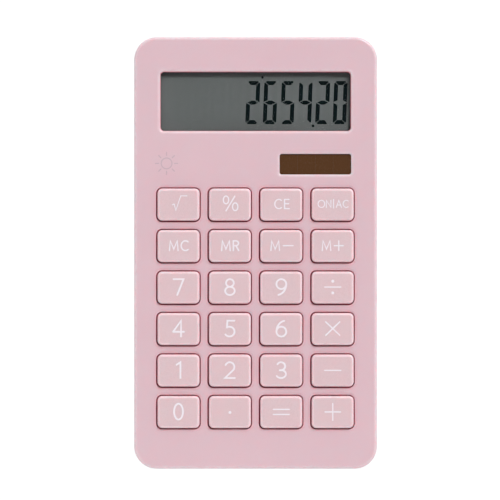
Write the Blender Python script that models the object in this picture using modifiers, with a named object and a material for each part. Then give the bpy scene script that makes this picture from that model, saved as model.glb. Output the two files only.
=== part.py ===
"""A slim ten-digit desk calculator, modelled as the pieces that it comes apart into.

Frame: metres, +Z up, +Y away from the user towards the display, +X to the user's right.
The origin is on the table, under the middle of the case, at the underside of the rubber feet.
"""

import math

import bmesh
import bpy
from mathutils import Matrix, Vector

MM = 0.001

# ---------------------------------------------------------------- driving sizes
CASE_WIDTH = 90.0 * MM
CASE_LENGTH = 160.0 * MM
CASE_CORNER = 8.3 * MM
WALL = 1.8 * MM

FOOT_PROUD = 1.0 * MM
CASE_BASE_Z = FOOT_PROUD
CASE_TOP_Z = CASE_BASE_Z + 11.5 * MM
SEAM_Z = CASE_BASE_Z + 5.0 * MM
SEAM_GAP = 0.3 * MM
TOP_EDGE_RADIUS = 1.2 * MM
BASE_EDGE_RADIUS = 2.4 * MM
FLOOR_Z = CASE_BASE_Z + WALL
PLATE_Z = CASE_TOP_Z - WALL

KEY_ROWS = 6
KEY_COLUMNS = 4
KEY_PITCH_X = 19.03 * MM
KEY_PITCH_Y = 15.37 * MM
KEY_GRID_Y = -20.5 * MM
KEY_WIDTH = 15.4 * MM
KEY_LENGTH = 11.7 * MM
KEY_CORNER = 1.65 * MM
KEY_GAP = 0.3 * MM
KEY_RISE = 1.5 * MM
KEY_TRAVEL = 1.2 * MM

WINDOW_WIDTH = 70.8 * MM
WINDOW_LENGTH = 21.8 * MM
WINDOW_Y = 56.2 * MM
WINDOW_CORNER = 1.5 * MM

SOLAR_WIDTH = 26.5 * MM
SOLAR_LENGTH = 7.6 * MM
SOLAR_X = (WINDOW_WIDTH - SOLAR_WIDTH) / 2
SOLAR_Y = 32.9 * MM
SOLAR_CORNER = 0.8 * MM

# ---------------------------------------------------------------- fits
GAP = 0.1 * MM  # between flat pieces that are stacked or clamped
SLIDE_GAP = 0.2 * MM  # round a piece that slides, or one that drops into a pocket
REACH = 1.0 * MM  # how far a cutter runs past what it cuts, or a boss into its wall

# ---------------------------------------------------------------- stack under the keys
BOARD_THICKNESS = 1.2 * MM
BOARD_Z = CASE_BASE_Z + 4.0 * MM
BOARD_TOP_Z = BOARD_Z + BOARD_THICKNESS
BOARD_WIDTH = 84.4 * MM
BOARD_LOW_Y = -68.5 * MM
BOARD_HIGH_Y = 32.0 * MM

MAT_Z = BOARD_TOP_Z + GAP
MAT_THICKNESS = 0.7 * MM
MAT_MARGIN = 0.6 * MM
DOME_HEIGHT = 1.7 * MM
DOME_BASE_RADIUS = 4.6 * MM
DOME_TOP_RADIUS = 2.6 * MM
DOME_WALL = 0.55 * MM
DOME_SIDES = 8
PILL_RADIUS = 1.6 * MM
DOME_TOP_Z = MAT_Z + MAT_THICKNESS + DOME_HEIGHT

FLANGE_REACH = 0.9 * MM
FLANGE_THICKNESS = 0.8 * MM
FLANGE_TOP_Z = PLATE_Z - SEAM_GAP
KEY_WALL = 1.2 * MM
KEY_ROOF = 1.5 * MM
KEY_BEVEL = 0.6 * MM
PLUNGER_RADIUS = 2.0 * MM

# ---------------------------------------------------------------- display stack
LENS_MARGIN = 1.6 * MM
LENS_THICKNESS = 1.0 * MM
LENS_TOP_Z = PLATE_Z - GAP
GLASS_WIDTH = 75.0 * MM
GLASS_LENGTH = 27.0 * MM
GLASS_THICKNESS = 0.65 * MM
GLASS_LEDGE = 2.5 * MM
FILM_THICKNESS = 0.2 * MM
FILM_INSET = 0.6 * MM
POCKET_GAP = 0.4 * MM
FRAME_RIB = 1.0 * MM
CLAMP_THICKNESS = 0.4 * MM
CLAMP_BAR = 3.0 * MM
PEG_RADIUS = 0.6 * MM
PEG_SPACING = 14.0 * MM

SOLAR_MARGIN_X = 1.7 * MM
SOLAR_MARGIN_Y = 1.15 * MM
SOLAR_THICKNESS = 1.0 * MM
SOLAR_DEPTH = 0.9 * MM
SOLAR_RIB = 0.8 * MM

RIBBON_LOW_X = -32.0 * MM
RIBBON_HIGH_X = 12.0 * MM
RIBBON_THICKNESS = 0.15 * MM

# ---------------------------------------------------------------- battery
COVER_X = -18.0 * MM
COVER_WIDTH = 22.0 * MM
COVER_LENGTH = 21.0 * MM
COVER_THICKNESS = 1.4 * MM
TONGUE_REACH = 0.7 * MM
TONGUE_THICKNESS = 0.6 * MM
GRIP_GROOVES = 4
CELL_X = COVER_X
CELL_Y = 67.5 * MM
CELL_RADIUS = 5.8 * MM
CELL_HEIGHT = 3.05 * MM
CELL_Z = CASE_BASE_Z + COVER_THICKNESS + 0.35 * MM
TUB_HALF_WIDTH = 12.8 * MM
TUB_LOW_Y = 57.2 * MM
TUB_TOP_Z = 6.9 * MM
WELL_TOP_Z = 6.2 * MM
LEAF_THICKNESS = 0.2 * MM
LEAF_TAIL_Y = 55.0 * MM

# ---------------------------------------------------------------- fasteners and feet
CASE_SCREW_X = 38.0 * MM
CASE_SCREW_Y = 72.8 * MM
BOARD_SCREW_X = 40.2 * MM
BOARD_SCREW_Y = (10.2 * MM, -51.0 * MM)
SCREW_RADIUS = 0.85 * MM
SCREW_HEAD_RADIUS = 1.9 * MM
SCREW_HEAD_HEIGHT = 1.2 * MM
HEAD_SEAT_Z = 4.2 * MM
PIN_RADIUS = 1.1 * MM
FOOT_X = 34.0 * MM
FOOT_Y = 61.0 * MM
FOOT_RADIUS = 4.0 * MM
FOOT_RECESS = 0.7 * MM

LEAD_RADIUS = 0.5 * MM

KEY_NAMES = (
    ("key_root", "key_percent", "key_clear_entry", "key_on_all_clear"),
    ("key_memory_clear", "key_memory_recall", "key_memory_minus", "key_memory_plus"),
    ("key_7", "key_8", "key_9", "key_divide"),
    ("key_4", "key_5", "key_6", "key_multiply"),
    ("key_1", "key_2", "key_3", "key_minus"),
    ("key_0", "key_point", "key_equals", "key_plus"),
)


# ---------------------------------------------------------------- scene and materials
def clear_scene():
    for obj in list(bpy.data.objects):
        bpy.data.objects.remove(obj)


def new_collection(name):
    collection = bpy.data.collections.new(name)
    bpy.context.scene.collection.children.link(collection)
    return collection


def material(name, colour, roughness=0.5, metallic=0.0, alpha=1.0):
    made = bpy.data.materials.new(name)
    made.use_nodes = True
    shader = made.node_tree.nodes["Principled BSDF"]
    shader.inputs["Base Color"].default_value = (*colour, 1.0)
    shader.inputs["Roughness"].default_value = roughness
    shader.inputs["Metallic"].default_value = metallic
    shader.inputs["Alpha"].default_value = alpha
    made.diffuse_color = (*colour, alpha)
    return made


clear_scene()
PARTS = new_collection("desk_calculator")
HELPERS = new_collection("cutters")

CASE_PLASTIC = material("case_plastic", (0.72, 0.50, 0.55), 0.5)
KEY_PLASTIC = material("key_plastic", (0.73, 0.53, 0.57), 0.4)
CLEAR_PLASTIC = material("clear_plastic", (0.95, 0.97, 0.97), 0.05, alpha=0.3)
DISPLAY_GLASS = material("display_glass", (0.35, 0.38, 0.37), 0.1)
FILM = material("film", (0.20, 0.22, 0.22), 0.3)
SOLAR_GLASS = material("solar_glass", (0.10, 0.045, 0.02), 0.15)
SILICONE = material("silicone", (0.70, 0.72, 0.72), 0.7)
BOARD_RESIN = material("board_resin", (0.36, 0.20, 0.07), 0.6)
EPOXY = material("epoxy", (0.01, 0.01, 0.01), 0.3)
STEEL = material("steel", (0.60, 0.60, 0.60), 0.3, 1.0)
RUBBER = material("rubber", (0.60, 0.45, 0.48), 0.8)
RED_PVC = material("red_insulation", (0.55, 0.02, 0.02), 0.4)
BLACK_PVC = material("black_insulation", (0.02, 0.02, 0.02), 0.4)
RED_RESIN = material("red_resin", (0.60, 0.02, 0.02), 0.2)
RIBBON_FILM = material("ribbon_film", (0.55, 0.40, 0.20), 0.4)


# ---------------------------------------------------------------- shapes
def vertical(edge):
    run = edge.verts[0].co - edge.verts[1].co
    return abs(run.z) > 0.9 * run.length


def add_block(bm, low, high, corner=0.0, segments=3):
    """A box between two corner points, with its upright edges rounded."""
    low, high = Vector(low), Vector(high)
    verts = bmesh.ops.create_cube(bm, size=1.0)["verts"]
    bmesh.ops.scale(bm, vec=high - low, verts=verts)
    bmesh.ops.translate(bm, vec=(low + high) / 2, verts=verts)
    if corner:
        upright = {edge for vert in verts for edge in vert.link_edges if vertical(edge)}
        bmesh.ops.bevel(
            bm, geom=list(upright), offset=corner, segments=segments, profile=0.5, affect="EDGES"
        )


def add_plate(bm, centre, size, z_low, z_high, corner=0.0, segments=3):
    """A rounded block given by its centre and size in plan, and its two heights."""
    half = Vector((size[0] / 2, size[1] / 2))
    low = (centre[0] - half.x, centre[1] - half.y, z_low)
    high = (centre[0] + half.x, centre[1] + half.y, z_high)
    add_block(bm, low, high, corner, segments)


def add_rod(bm, centre, radius, z_low, z_high, sides=12, radius_top=None):
    """An upright cylinder, or a cone if the top has its own radius."""
    place = Matrix.Translation((centre[0], centre[1], (z_low + z_high) / 2))
    bmesh.ops.create_cone(
        bm,
        cap_ends=True,
        segments=sides,
        radius1=radius,
        radius2=radius if radius_top is None else radius_top,
        depth=z_high - z_low,
        matrix=place,
    )


def round_rim(bm, z, radius, segments):
    """Rounds the edges that lie at one height."""
    rim = [edge for edge in bm.edges if all(abs(vert.co.z - z) < GAP / 10 for vert in edge.verts)]
    bmesh.ops.bevel(
        bm, geom=rim, offset=radius, segments=segments, profile=0.5, affect="EDGES"
    )


def case_block(inset, z_low, z_high):
    """A block with the case's outline, moved in by inset all round."""
    bm = bmesh.new()
    size = (CASE_WIDTH - 2 * inset, CASE_LENGTH - 2 * inset)
    add_plate(bm, (0, 0), size, z_low, z_high, CASE_CORNER - inset, segments=6)
    return bm


def link_mesh(name, bm, collection):
    bmesh.ops.recalc_face_normals(bm, faces=bm.faces)
    mesh = bpy.data.meshes.new(name)
    bm.to_mesh(mesh)
    bm.free()
    obj = bpy.data.objects.new(name, mesh)
    collection.objects.link(obj)
    return obj


def part(name, bm, surface):
    obj = link_mesh(name, bm, PARTS)
    obj.data.materials.append(surface)
    return obj


def helper(name, bm):
    """A shape that only cuts or joins: the build and a render leave it out."""
    obj = link_mesh(name, bm, HELPERS)
    obj.hide_render = True
    obj.display_type = "WIRE"
    return obj


def boolean(obj, other, operation):
    modifier = obj.modifiers.new(other.name, "BOOLEAN")
    modifier.operation = operation
    modifier.object = other


def cut(obj, other):
    boolean(obj, other, "DIFFERENCE")


def join(obj, other):
    boolean(obj, other, "UNION")


def evaluated_mesh(obj):
    bpy.context.view_layer.update()
    graph = bpy.context.evaluated_depsgraph_get()
    return bpy.data.meshes.new_from_object(obj.evaluated_get(graph))


def settle(obj):
    """Turns an object with modifiers, or a curve, into a plain welded mesh object of the same name."""
    mesh = evaluated_mesh(obj)
    bm = bmesh.new()
    bm.from_mesh(mesh)
    bmesh.ops.remove_doubles(bm, verts=bm.verts, dist=GAP / 100)
    bm.to_mesh(mesh)
    bm.free()
    name, place, collection = obj.name, obj.matrix_world.copy(), obj.users_collection[0]
    hidden = obj.hide_render
    bpy.data.objects.remove(obj)
    solid = bpy.data.objects.new(name, mesh)
    solid.matrix_world = place
    solid.hide_render = hidden
    collection.objects.link(solid)
    return solid


def turned(name, profile, surface, place, sides=20):
    """A round piece from its profile of (radius, height) points, listed top to bottom."""
    mesh = bpy.data.meshes.new(name)
    points = [(radius, 0.0, height) for radius, height in profile]
    mesh.from_pydata(points, [(i, i + 1) for i in range(len(points) - 1)], [])
    obj = bpy.data.objects.new(name, mesh)
    PARTS.objects.link(obj)
    obj.location = place
    screw = obj.modifiers.new("turn", "SCREW")
    screw.steps = sides
    screw.render_steps = sides
    screw.use_merge_vertices = True
    screw.merge_threshold = GAP / 10
    obj = settle(obj)
    obj.data.materials.clear()
    obj.data.materials.append(surface)
    return obj


def smooth_path(points, steps):
    """Points along a smooth curve that passes through the given ones."""
    points = [Vector(point) for point in points]
    ends = [2 * points[0] - points[1], *points, 2 * points[-1] - points[-2]]
    path = []
    for before, start, end, after in zip(ends, ends[1:], ends[2:], ends[3:]):
        for step in range(steps):
            t = step / steps
            path.append(
                0.5
                * (
                    2 * start
                    + (end - before) * t
                    + (2 * before - 5 * start + 4 * end - after) * t**2
                    + (3 * start - before - 3 * end + after) * t**3
                )
            )
    return [*path, points[-1]]


def tube(name, path, radius, surface, collection=None, bevel_resolution=2):
    """A round wire along a path, with closed ends."""
    curve = bpy.data.curves.new(name, "CURVE")
    curve.dimensions = "3D"
    curve.bevel_depth = radius
    curve.bevel_resolution = bevel_resolution
    curve.use_fill_caps = True
    spline = curve.splines.new("POLY")
    spline.points.add(len(path) - 1)
    for point, place in zip(spline.points, path):
        point.co = (*place, 1.0)
    obj = bpy.data.objects.new(name, curve)
    (collection or PARTS).objects.link(obj)
    obj = settle(obj)
    obj.data.materials.clear()
    obj.data.materials.append(surface)
    return obj


def strip(name, path, across, thickness, surface):
    """A thin bent strip: a line of points swept by the across vector, then thickened."""
    mesh = bpy.data.meshes.new(name)
    near = [Vector(point) for point in path]
    far = [point + Vector(across) for point in near]
    count = len(near)
    quads = [(i, i + 1, count + i + 1, count + i) for i in range(count - 1)]
    mesh.from_pydata([*near, *far], [], quads)
    mesh.materials.append(surface)
    obj = bpy.data.objects.new(name, mesh)
    PARTS.objects.link(obj)
    solidify = obj.modifiers.new("thickness", "SOLIDIFY")
    solidify.thickness = thickness
    solidify.offset = 0.0
    return obj


# ---------------------------------------------------------------- key grid
def key_centre(row, column):
    x = (column - (KEY_COLUMNS - 1) / 2) * KEY_PITCH_X
    y = KEY_GRID_Y + ((KEY_ROWS - 1) / 2 - row) * KEY_PITCH_Y
    return x, y


KEY_CENTRES = [key_centre(row, column) for row in range(KEY_ROWS) for column in range(KEY_COLUMNS)]
# Locating pins stand where four keys meet, beside the outer columns.
PIN_CENTRES = [
    (side * KEY_PITCH_X, key_centre(row, 0)[1] - KEY_PITCH_Y / 2)
    for side in (-1, 1)
    for row in (0, 2, 4)
]
CASE_SCREW_CENTRES = [(x * CASE_SCREW_X, y * CASE_SCREW_Y) for x in (-1, 1) for y in (-1, 1)]
BOARD_SCREW_CENTRES = [(x * BOARD_SCREW_X, y) for x in (-1, 1) for y in BOARD_SCREW_Y]
FOOT_CENTRES = [(x * FOOT_X, y * FOOT_Y) for x in (-1, 1) for y in (-1, 1)]

LIP_INSET = 1.1 * MM
LIP_HEIGHT = 0.9 * MM
REBATE_INSET = LIP_INSET - SLIDE_GAP
GLASS_LOW_Y = WINDOW_Y - GLASS_LENGTH / 2
GLASS_HIGH_Y = WINDOW_Y + GLASS_LENGTH / 2
LENS_Z = LENS_TOP_Z - LENS_THICKNESS
FRONT_FILM_Z = LENS_Z - GAP - FILM_THICKNESS
FRONT_GLASS_Z = FRONT_FILM_Z - GAP - GLASS_THICKNESS
REAR_GLASS_Z = FRONT_GLASS_Z - GAP - GLASS_THICKNESS
REFLECTOR_Z = REAR_GLASS_Z - GAP - FILM_THICKNESS
SOLAR_POCKET = (
    SOLAR_WIDTH + 2 * SOLAR_MARGIN_X + 2 * SLIDE_GAP,
    SOLAR_LENGTH + 2 * SOLAR_MARGIN_Y + 2 * SLIDE_GAP,
)
PEG_X = GLASS_WIDTH / 2 + POCKET_GAP + FRAME_RIB / 2
PEG_CENTRES = [(x * PEG_X, WINDOW_Y + y * PEG_SPACING / 2) for x in (-1, 1) for y in (-1, 1)]
PEG_Z = REFLECTOR_Z - GAP - CLAMP_THICKNESS - 0.4 * MM
SOLAR_Z = CASE_TOP_Z - SOLAR_DEPTH - SOLAR_THICKNESS


def rods(name, centres, radius, z_low, z_high, sides=12):
    """A helper of equal upright cylinders."""
    bm = bmesh.new()
    for centre in centres:
        add_rod(bm, centre, radius, z_low, z_high, sides)
    return helper(name, bm)


# ---------------------------------------------------------------- upper case
def upper_case():
    bm = case_block(0.0, SEAM_Z + SEAM_GAP / 2, CASE_TOP_Z)
    round_rim(bm, CASE_TOP_Z, TOP_EDGE_RADIUS, segments=2)
    case = part("upper_case", bm, CASE_PLASTIC)
    cut(case, helper("upper_hollow", case_block(WALL, SEAM_Z - REACH, PLATE_Z)))
    rebate_top = SEAM_Z + LIP_HEIGHT + SEAM_GAP
    cut(case, helper("lip_rebate", case_block(REBATE_INSET, SEAM_Z - REACH, rebate_top)))

    join(case, display_frame())
    join(case, rods("clamp_pegs", PEG_CENTRES, PEG_RADIUS, PEG_Z, PLATE_Z + REACH, 8))
    join(case, solar_frame())
    cut(case, solar_pocket(SOLAR_Z - REACH, CASE_TOP_Z - SOLAR_DEPTH + GAP))
    case_boss_z = SEAM_Z + 0.4 * MM
    join(case, rods("case_bosses", CASE_SCREW_CENTRES, 2.4 * MM, case_boss_z, PLATE_Z + REACH))
    board_boss_z = BOARD_TOP_Z + GAP
    join(case, rods("board_bosses", BOARD_SCREW_CENTRES, 2.2 * MM, board_boss_z, PLATE_Z + REACH))
    join(case, rods("locating_pins", PIN_CENTRES, PIN_RADIUS, BOARD_Z + GAP, PLATE_Z + REACH, 8))

    bm = bmesh.new()
    opening = (KEY_WIDTH + 2 * KEY_GAP, KEY_LENGTH + 2 * KEY_GAP)
    for centre in KEY_CENTRES:
        add_plate(
            bm, centre, opening, PLATE_Z - REACH, CASE_TOP_Z + REACH, KEY_CORNER + KEY_GAP, 2
        )
    cut(case, helper("key_openings", bm))

    bm = bmesh.new()
    add_plate(
        bm, (0, WINDOW_Y), (WINDOW_WIDTH, WINDOW_LENGTH), LENS_Z, CASE_TOP_Z + REACH, WINDOW_CORNER
    )
    add_plate(
        bm, (SOLAR_X, SOLAR_Y), (SOLAR_WIDTH, SOLAR_LENGTH), SOLAR_Z, CASE_TOP_Z + REACH, SOLAR_CORNER
    )
    cut(case, helper("windows", bm))

    pilot_radius = SCREW_RADIUS + GAP
    pilot_top = PLATE_Z - 0.3 * MM
    centres = CASE_SCREW_CENTRES + BOARD_SCREW_CENTRES
    cut(case, rods("pilot_holes", centres, pilot_radius, SEAM_Z - REACH, pilot_top, 10))


def display_frame():
    """The rib round the display stack, open where the ribbon leaves."""
    low_y = GLASS_LOW_Y - GLASS_LEDGE - POCKET_GAP
    high_y = GLASS_HIGH_Y + POCKET_GAP
    half = GLASS_WIDTH / 2 + POCKET_GAP
    bm = bmesh.new()
    outer_low = (-half - FRAME_RIB, low_y - FRAME_RIB, REFLECTOR_Z)
    outer_high = (half + FRAME_RIB, high_y + FRAME_RIB, PLATE_Z + REACH)
    add_block(bm, outer_low, outer_high)
    frame = helper("display_frame", bm)
    bm = bmesh.new()
    add_block(bm, (-half, low_y, REFLECTOR_Z - REACH), (half, high_y, PLATE_Z + 2 * REACH))
    cut(frame, helper("display_pocket", bm))
    bm = bmesh.new()
    notch_low = (RIBBON_LOW_X - 1.5 * MM, low_y - 2 * FRAME_RIB, REFLECTOR_Z - REACH)
    notch_high = (RIBBON_HIGH_X + 1.5 * MM, low_y + FRAME_RIB / 2, FRONT_GLASS_Z + 0.6 * MM)
    add_block(bm, notch_low, notch_high)
    cut(frame, helper("ribbon_notch", bm))
    return settle(frame)


def solar_frame():
    """The raised pad behind the plate that the solar cell's pocket is cut into."""
    bm = bmesh.new()
    width, length = (size + 2 * SOLAR_RIB for size in SOLAR_POCKET)
    add_plate(bm, (SOLAR_X, SOLAR_Y), (width, length), SOLAR_Z - SLIDE_GAP, PLATE_Z + REACH)
    return helper("solar_frame", bm)


def solar_pocket(z_low, z_high):
    bm = bmesh.new()
    add_plate(bm, (SOLAR_X, SOLAR_Y), SOLAR_POCKET, z_low, z_high)
    return helper("solar_pocket", bm)


# ---------------------------------------------------------------- lower case
def lower_shell(z_high):
    """The lower case's outer block, with its rounded lower edge."""
    bm = case_block(0.0, CASE_BASE_Z, z_high)
    round_rim(bm, CASE_BASE_Z, BASE_EDGE_RADIUS, segments=3)
    return bm


def lower_case():
    case = part("lower_case", lower_shell(SEAM_Z - SEAM_GAP / 2), CASE_PLASTIC)
    join(case, helper("seam_lip", case_block(LIP_INSET, SEAM_Z - REACH, SEAM_Z + LIP_HEIGHT)))
    cut(case, helper("lower_hollow", case_block(WALL, FLOOR_Z, CASE_TOP_Z)))

    seat_z = FLOOR_Z - REACH
    join(case, rods("screw_posts", CASE_SCREW_CENTRES, 3.2 * MM, seat_z, SEAM_Z + GAP, 16))
    bm = bmesh.new()
    tub_low = (COVER_X - TUB_HALF_WIDTH, TUB_LOW_Y, seat_z)
    tub_high = (COVER_X + TUB_HALF_WIDTH, CASE_LENGTH / 2 - WALL + 0.4 * MM, TUB_TOP_Z)
    add_block(bm, tub_low, tub_high)
    join(case, helper("battery_tub", bm))
    join(case, stiffening_ribs(seat_z))

    cut(case, rods("screw_holes", CASE_SCREW_CENTRES, SCREW_RADIUS + 0.4 * MM, 0.0, CASE_TOP_Z))
    bm = bmesh.new()
    for centre in CASE_SCREW_CENTRES:
        add_rod(bm, centre, SCREW_HEAD_RADIUS + 0.3 * MM, 0.0, HEAD_SEAT_Z, 16)
    for centre in FOOT_CENTRES:
        recess_top = CASE_BASE_Z + FOOT_RECESS
        add_rod(bm, centre, FOOT_RADIUS + GAP, 0.0, recess_top, 20)
    cut(case, helper("base_recesses", bm))

    cut(case, helper("cover_slot", cover_slot()))
    bm = bmesh.new()
    groove_low_z, groove_high_z = tongue_heights(SLIDE_GAP)
    groove_half = COVER_WIDTH / 2 + TONGUE_REACH + SLIDE_GAP
    groove_low = (COVER_X - groove_half, cover_low_y() - SLIDE_GAP, groove_low_z)
    groove_high = (COVER_X + groove_half, CASE_LENGTH / 2 + REACH, groove_high_z)
    add_block(bm, groove_low, groove_high)
    cut(case, helper("tongue_groove", bm))
    cut(case, rods("cell_well", [(CELL_X, CELL_Y)], CELL_RADIUS + 0.3 * MM, 0.0, WELL_TOP_Z, 28))
    cut(case, helper("leaf_slots", leaf_slots()))


def stiffening_ribs(z_low):
    """Low ribs across the floor, under the board."""
    bm = bmesh.new()
    for y in (-46.0 * MM, -16.0 * MM, 14.0 * MM):
        half_width = CASE_WIDTH / 2 - WALL - 4.0 * MM
        add_block(bm, (-half_width, y, z_low), (half_width, y + 1.0 * MM, FLOOR_Z + 0.5 * MM))
    return helper("stiffening_ribs", bm)


def cover_low_y():
    return CASE_LENGTH / 2 - COVER_LENGTH


def tongue_heights(clearance):
    middle = CASE_BASE_Z + 0.9 * MM
    half = TONGUE_THICKNESS / 2 + clearance
    return middle - half, middle + half


def cover_slot():
    """The space that the battery cover slides in, open at the far end of the case."""
    bm = bmesh.new()
    half = COVER_WIDTH / 2 + SLIDE_GAP
    slot_low = (COVER_X - half, cover_low_y() - SLIDE_GAP, 0.0)
    slot_top = CASE_BASE_Z + COVER_THICKNESS + SLIDE_GAP
    add_block(bm, slot_low, (COVER_X + half, CASE_LENGTH / 2 + REACH, slot_top))
    return bm


def leaf_slots():
    """Ways out of the battery tub for the two contact leaves."""
    bm = bmesh.new()
    mouth_y = TUB_LOW_Y - REACH
    minus_low = (CELL_X - 2.2 * MM, mouth_y, WELL_TOP_Z - 0.6 * MM)
    add_block(bm, minus_low, (CELL_X + 2.2 * MM, CELL_Y, WELL_TOP_Z - 0.01 * MM))
    plus_low = (CELL_X - CELL_RADIUS - 1.7 * MM, mouth_y, CELL_Z + 0.2 * MM)
    add_block(bm, plus_low, (CELL_X - CELL_RADIUS + 0.6 * MM, CELL_Y + 5.0 * MM, CELL_Z + 2.7 * MM))
    return bm


def battery_cover():
    """The sliding cover: the case's own outer shape where they meet, with a tongue along each side."""
    cover = part("battery_cover", lower_shell(SEAM_Z), CASE_PLASTIC)
    bm = bmesh.new()
    half = COVER_WIDTH / 2
    add_block(
        bm,
        (COVER_X - half, cover_low_y(), CASE_BASE_Z - REACH),
        (COVER_X + half, CASE_LENGTH / 2 + REACH, CASE_BASE_Z + COVER_THICKNESS),
    )
    boolean(cover, helper("cover_outline", bm), "INTERSECT")
    bm = bmesh.new()
    tongue_low_z, tongue_high_z = tongue_heights(0.0)
    tongue_low = (COVER_X - half - TONGUE_REACH, cover_low_y(), tongue_low_z)
    tongue_high = (COVER_X + half + TONGUE_REACH, CASE_LENGTH / 2 - BASE_EDGE_RADIUS, tongue_high_z)
    add_block(bm, tongue_low, tongue_high)
    join(cover, helper("cover_tongues", bm))
    bm = bmesh.new()
    for index in range(GRIP_GROOVES):
        y = CASE_LENGTH / 2 - BASE_EDGE_RADIUS - (3.0 + 1.8 * index) * MM
        add_plate(
            bm, (COVER_X, y), (9.0 * MM, 0.8 * MM), 0.0, CASE_BASE_Z + 0.4 * MM, 0.35 * MM, 2
        )
    cut(cover, helper("grip_grooves", bm))


# ---------------------------------------------------------------- keys
def key_mesh():
    """One keycap about its own axis, with height 0 at the face of the case."""
    flange_top = FLANGE_TOP_Z - CASE_TOP_Z
    flange_low = flange_top - FLANGE_THICKNESS
    bm = bmesh.new()
    size = (KEY_WIDTH + 2 * FLANGE_REACH, KEY_LENGTH + 2 * FLANGE_REACH)
    add_plate(bm, (0, 0), size, flange_low, flange_top, KEY_CORNER + FLANGE_REACH, segments=2)

    # The cap stands on the flange: inset the top face and lift it.
    top = max(bm.faces, key=lambda face: face.calc_center_median().z)
    bmesh.ops.inset_region(bm, faces=[top], thickness=FLANGE_REACH, use_even_offset=True)
    lift_face(bm, top, KEY_RISE - flange_top)
    round_rim(bm, KEY_RISE, KEY_BEVEL, segments=1)

    # The hollow is the underside, inset and lifted as far as the roof.
    underside = min(bm.faces, key=lambda face: face.calc_center_median().z)
    wall = FLANGE_REACH + KEY_WALL
    bmesh.ops.inset_region(bm, faces=[underside], thickness=wall, use_even_offset=True)
    lift_face(bm, underside, KEY_RISE - KEY_ROOF - flange_low)

    key = helper("key_blank", bm)
    plunger_end = DOME_TOP_Z + GAP - CASE_TOP_Z
    plunger = rods("key_plunger", [(0, 0)], PLUNGER_RADIUS, plunger_end, KEY_RISE - REACH, 8)
    join(key, plunger)
    mesh = evaluated_mesh(key)
    bpy.data.objects.remove(key)
    bpy.data.objects.remove(plunger)
    mesh.materials.clear()
    mesh.materials.append(KEY_PLASTIC)
    return mesh


def lift_face(bm, face, height):
    """Extrudes one face straight up, which leaves walls behind it."""
    made = bmesh.ops.extrude_discrete_faces(bm, faces=[face])["faces"]
    verts = list({vert for lifted in made for vert in lifted.verts})
    bmesh.ops.translate(bm, vec=(0, 0, height), verts=verts)


def keys():
    mesh = key_mesh()
    for row, names in enumerate(KEY_NAMES):
        for column, name in enumerate(names):
            key = bpy.data.objects.new(name, mesh)
            key.location = (*key_centre(row, column), CASE_TOP_Z)
            PARTS.objects.link(key)


# ---------------------------------------------------------------- rubber mat and board
def keypad_mat():
    """The silicone sheet, with a hollow dome under each key and a contact pill in each dome."""
    half_x = (KEY_COLUMNS - 1) / 2 * KEY_PITCH_X + KEY_WIDTH / 2 + MAT_MARGIN
    half_y = (KEY_ROWS - 1) / 2 * KEY_PITCH_Y + KEY_LENGTH / 2 + MAT_MARGIN
    sheet_top = MAT_Z + MAT_THICKNESS
    bm = bmesh.new()
    add_plate(
        bm, (0, KEY_GRID_Y), (2 * half_x, 2 * half_y), MAT_Z, sheet_top, 1.0 * MM, segments=2
    )
    mat = part("keypad_mat", bm, SILICONE)

    bm = bmesh.new()
    cavity = bmesh.new()
    slope = (DOME_BASE_RADIUS - DOME_TOP_RADIUS) / DOME_HEIGHT
    root_z = sheet_top - MAT_THICKNESS / 2
    roof_z = DOME_TOP_Z - DOME_WALL
    for centre in KEY_CENTRES:
        root_radius = DOME_TOP_RADIUS + slope * (DOME_TOP_Z - root_z)
        add_rod(bm, centre, root_radius, root_z, DOME_TOP_Z, DOME_SIDES, DOME_TOP_RADIUS)
        low_z = MAT_Z - MAT_THICKNESS
        low_radius = DOME_TOP_RADIUS - DOME_WALL + slope * (roof_z - low_z)
        add_rod(
            cavity, centre, low_radius, low_z, roof_z, DOME_SIDES, DOME_TOP_RADIUS - DOME_WALL
        )
    join(mat, helper("domes", bm))
    cut(mat, helper("dome_cavities", cavity))
    pill_z = BOARD_TOP_Z + KEY_TRAVEL
    join(mat, rods("pills", KEY_CENTRES, PILL_RADIUS, pill_z, DOME_TOP_Z - DOME_WALL / 2, DOME_SIDES))
    cut(mat, rods("mat_pin_holes", PIN_CENTRES, PIN_RADIUS + 0.4 * MM, 0.0, CASE_TOP_Z, 8))


def circuit_board():
    bm = bmesh.new()
    low = (-BOARD_WIDTH / 2, BOARD_LOW_Y, BOARD_Z)
    add_block(bm, low, (BOARD_WIDTH / 2, BOARD_HIGH_Y, BOARD_TOP_Z), 1.5 * MM, 2)
    board = part("circuit_board", bm, BOARD_RESIN)
    cut(board, rods("board_pin_holes", PIN_CENTRES, PIN_RADIUS + 0.3 * MM, 0.0, CASE_TOP_Z, 8))
    hole_radius = SCREW_RADIUS + SLIDE_GAP
    cut(board, rods("board_screw_holes", BOARD_SCREW_CENTRES, hole_radius, 0.0, CASE_TOP_Z, 10))


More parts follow.
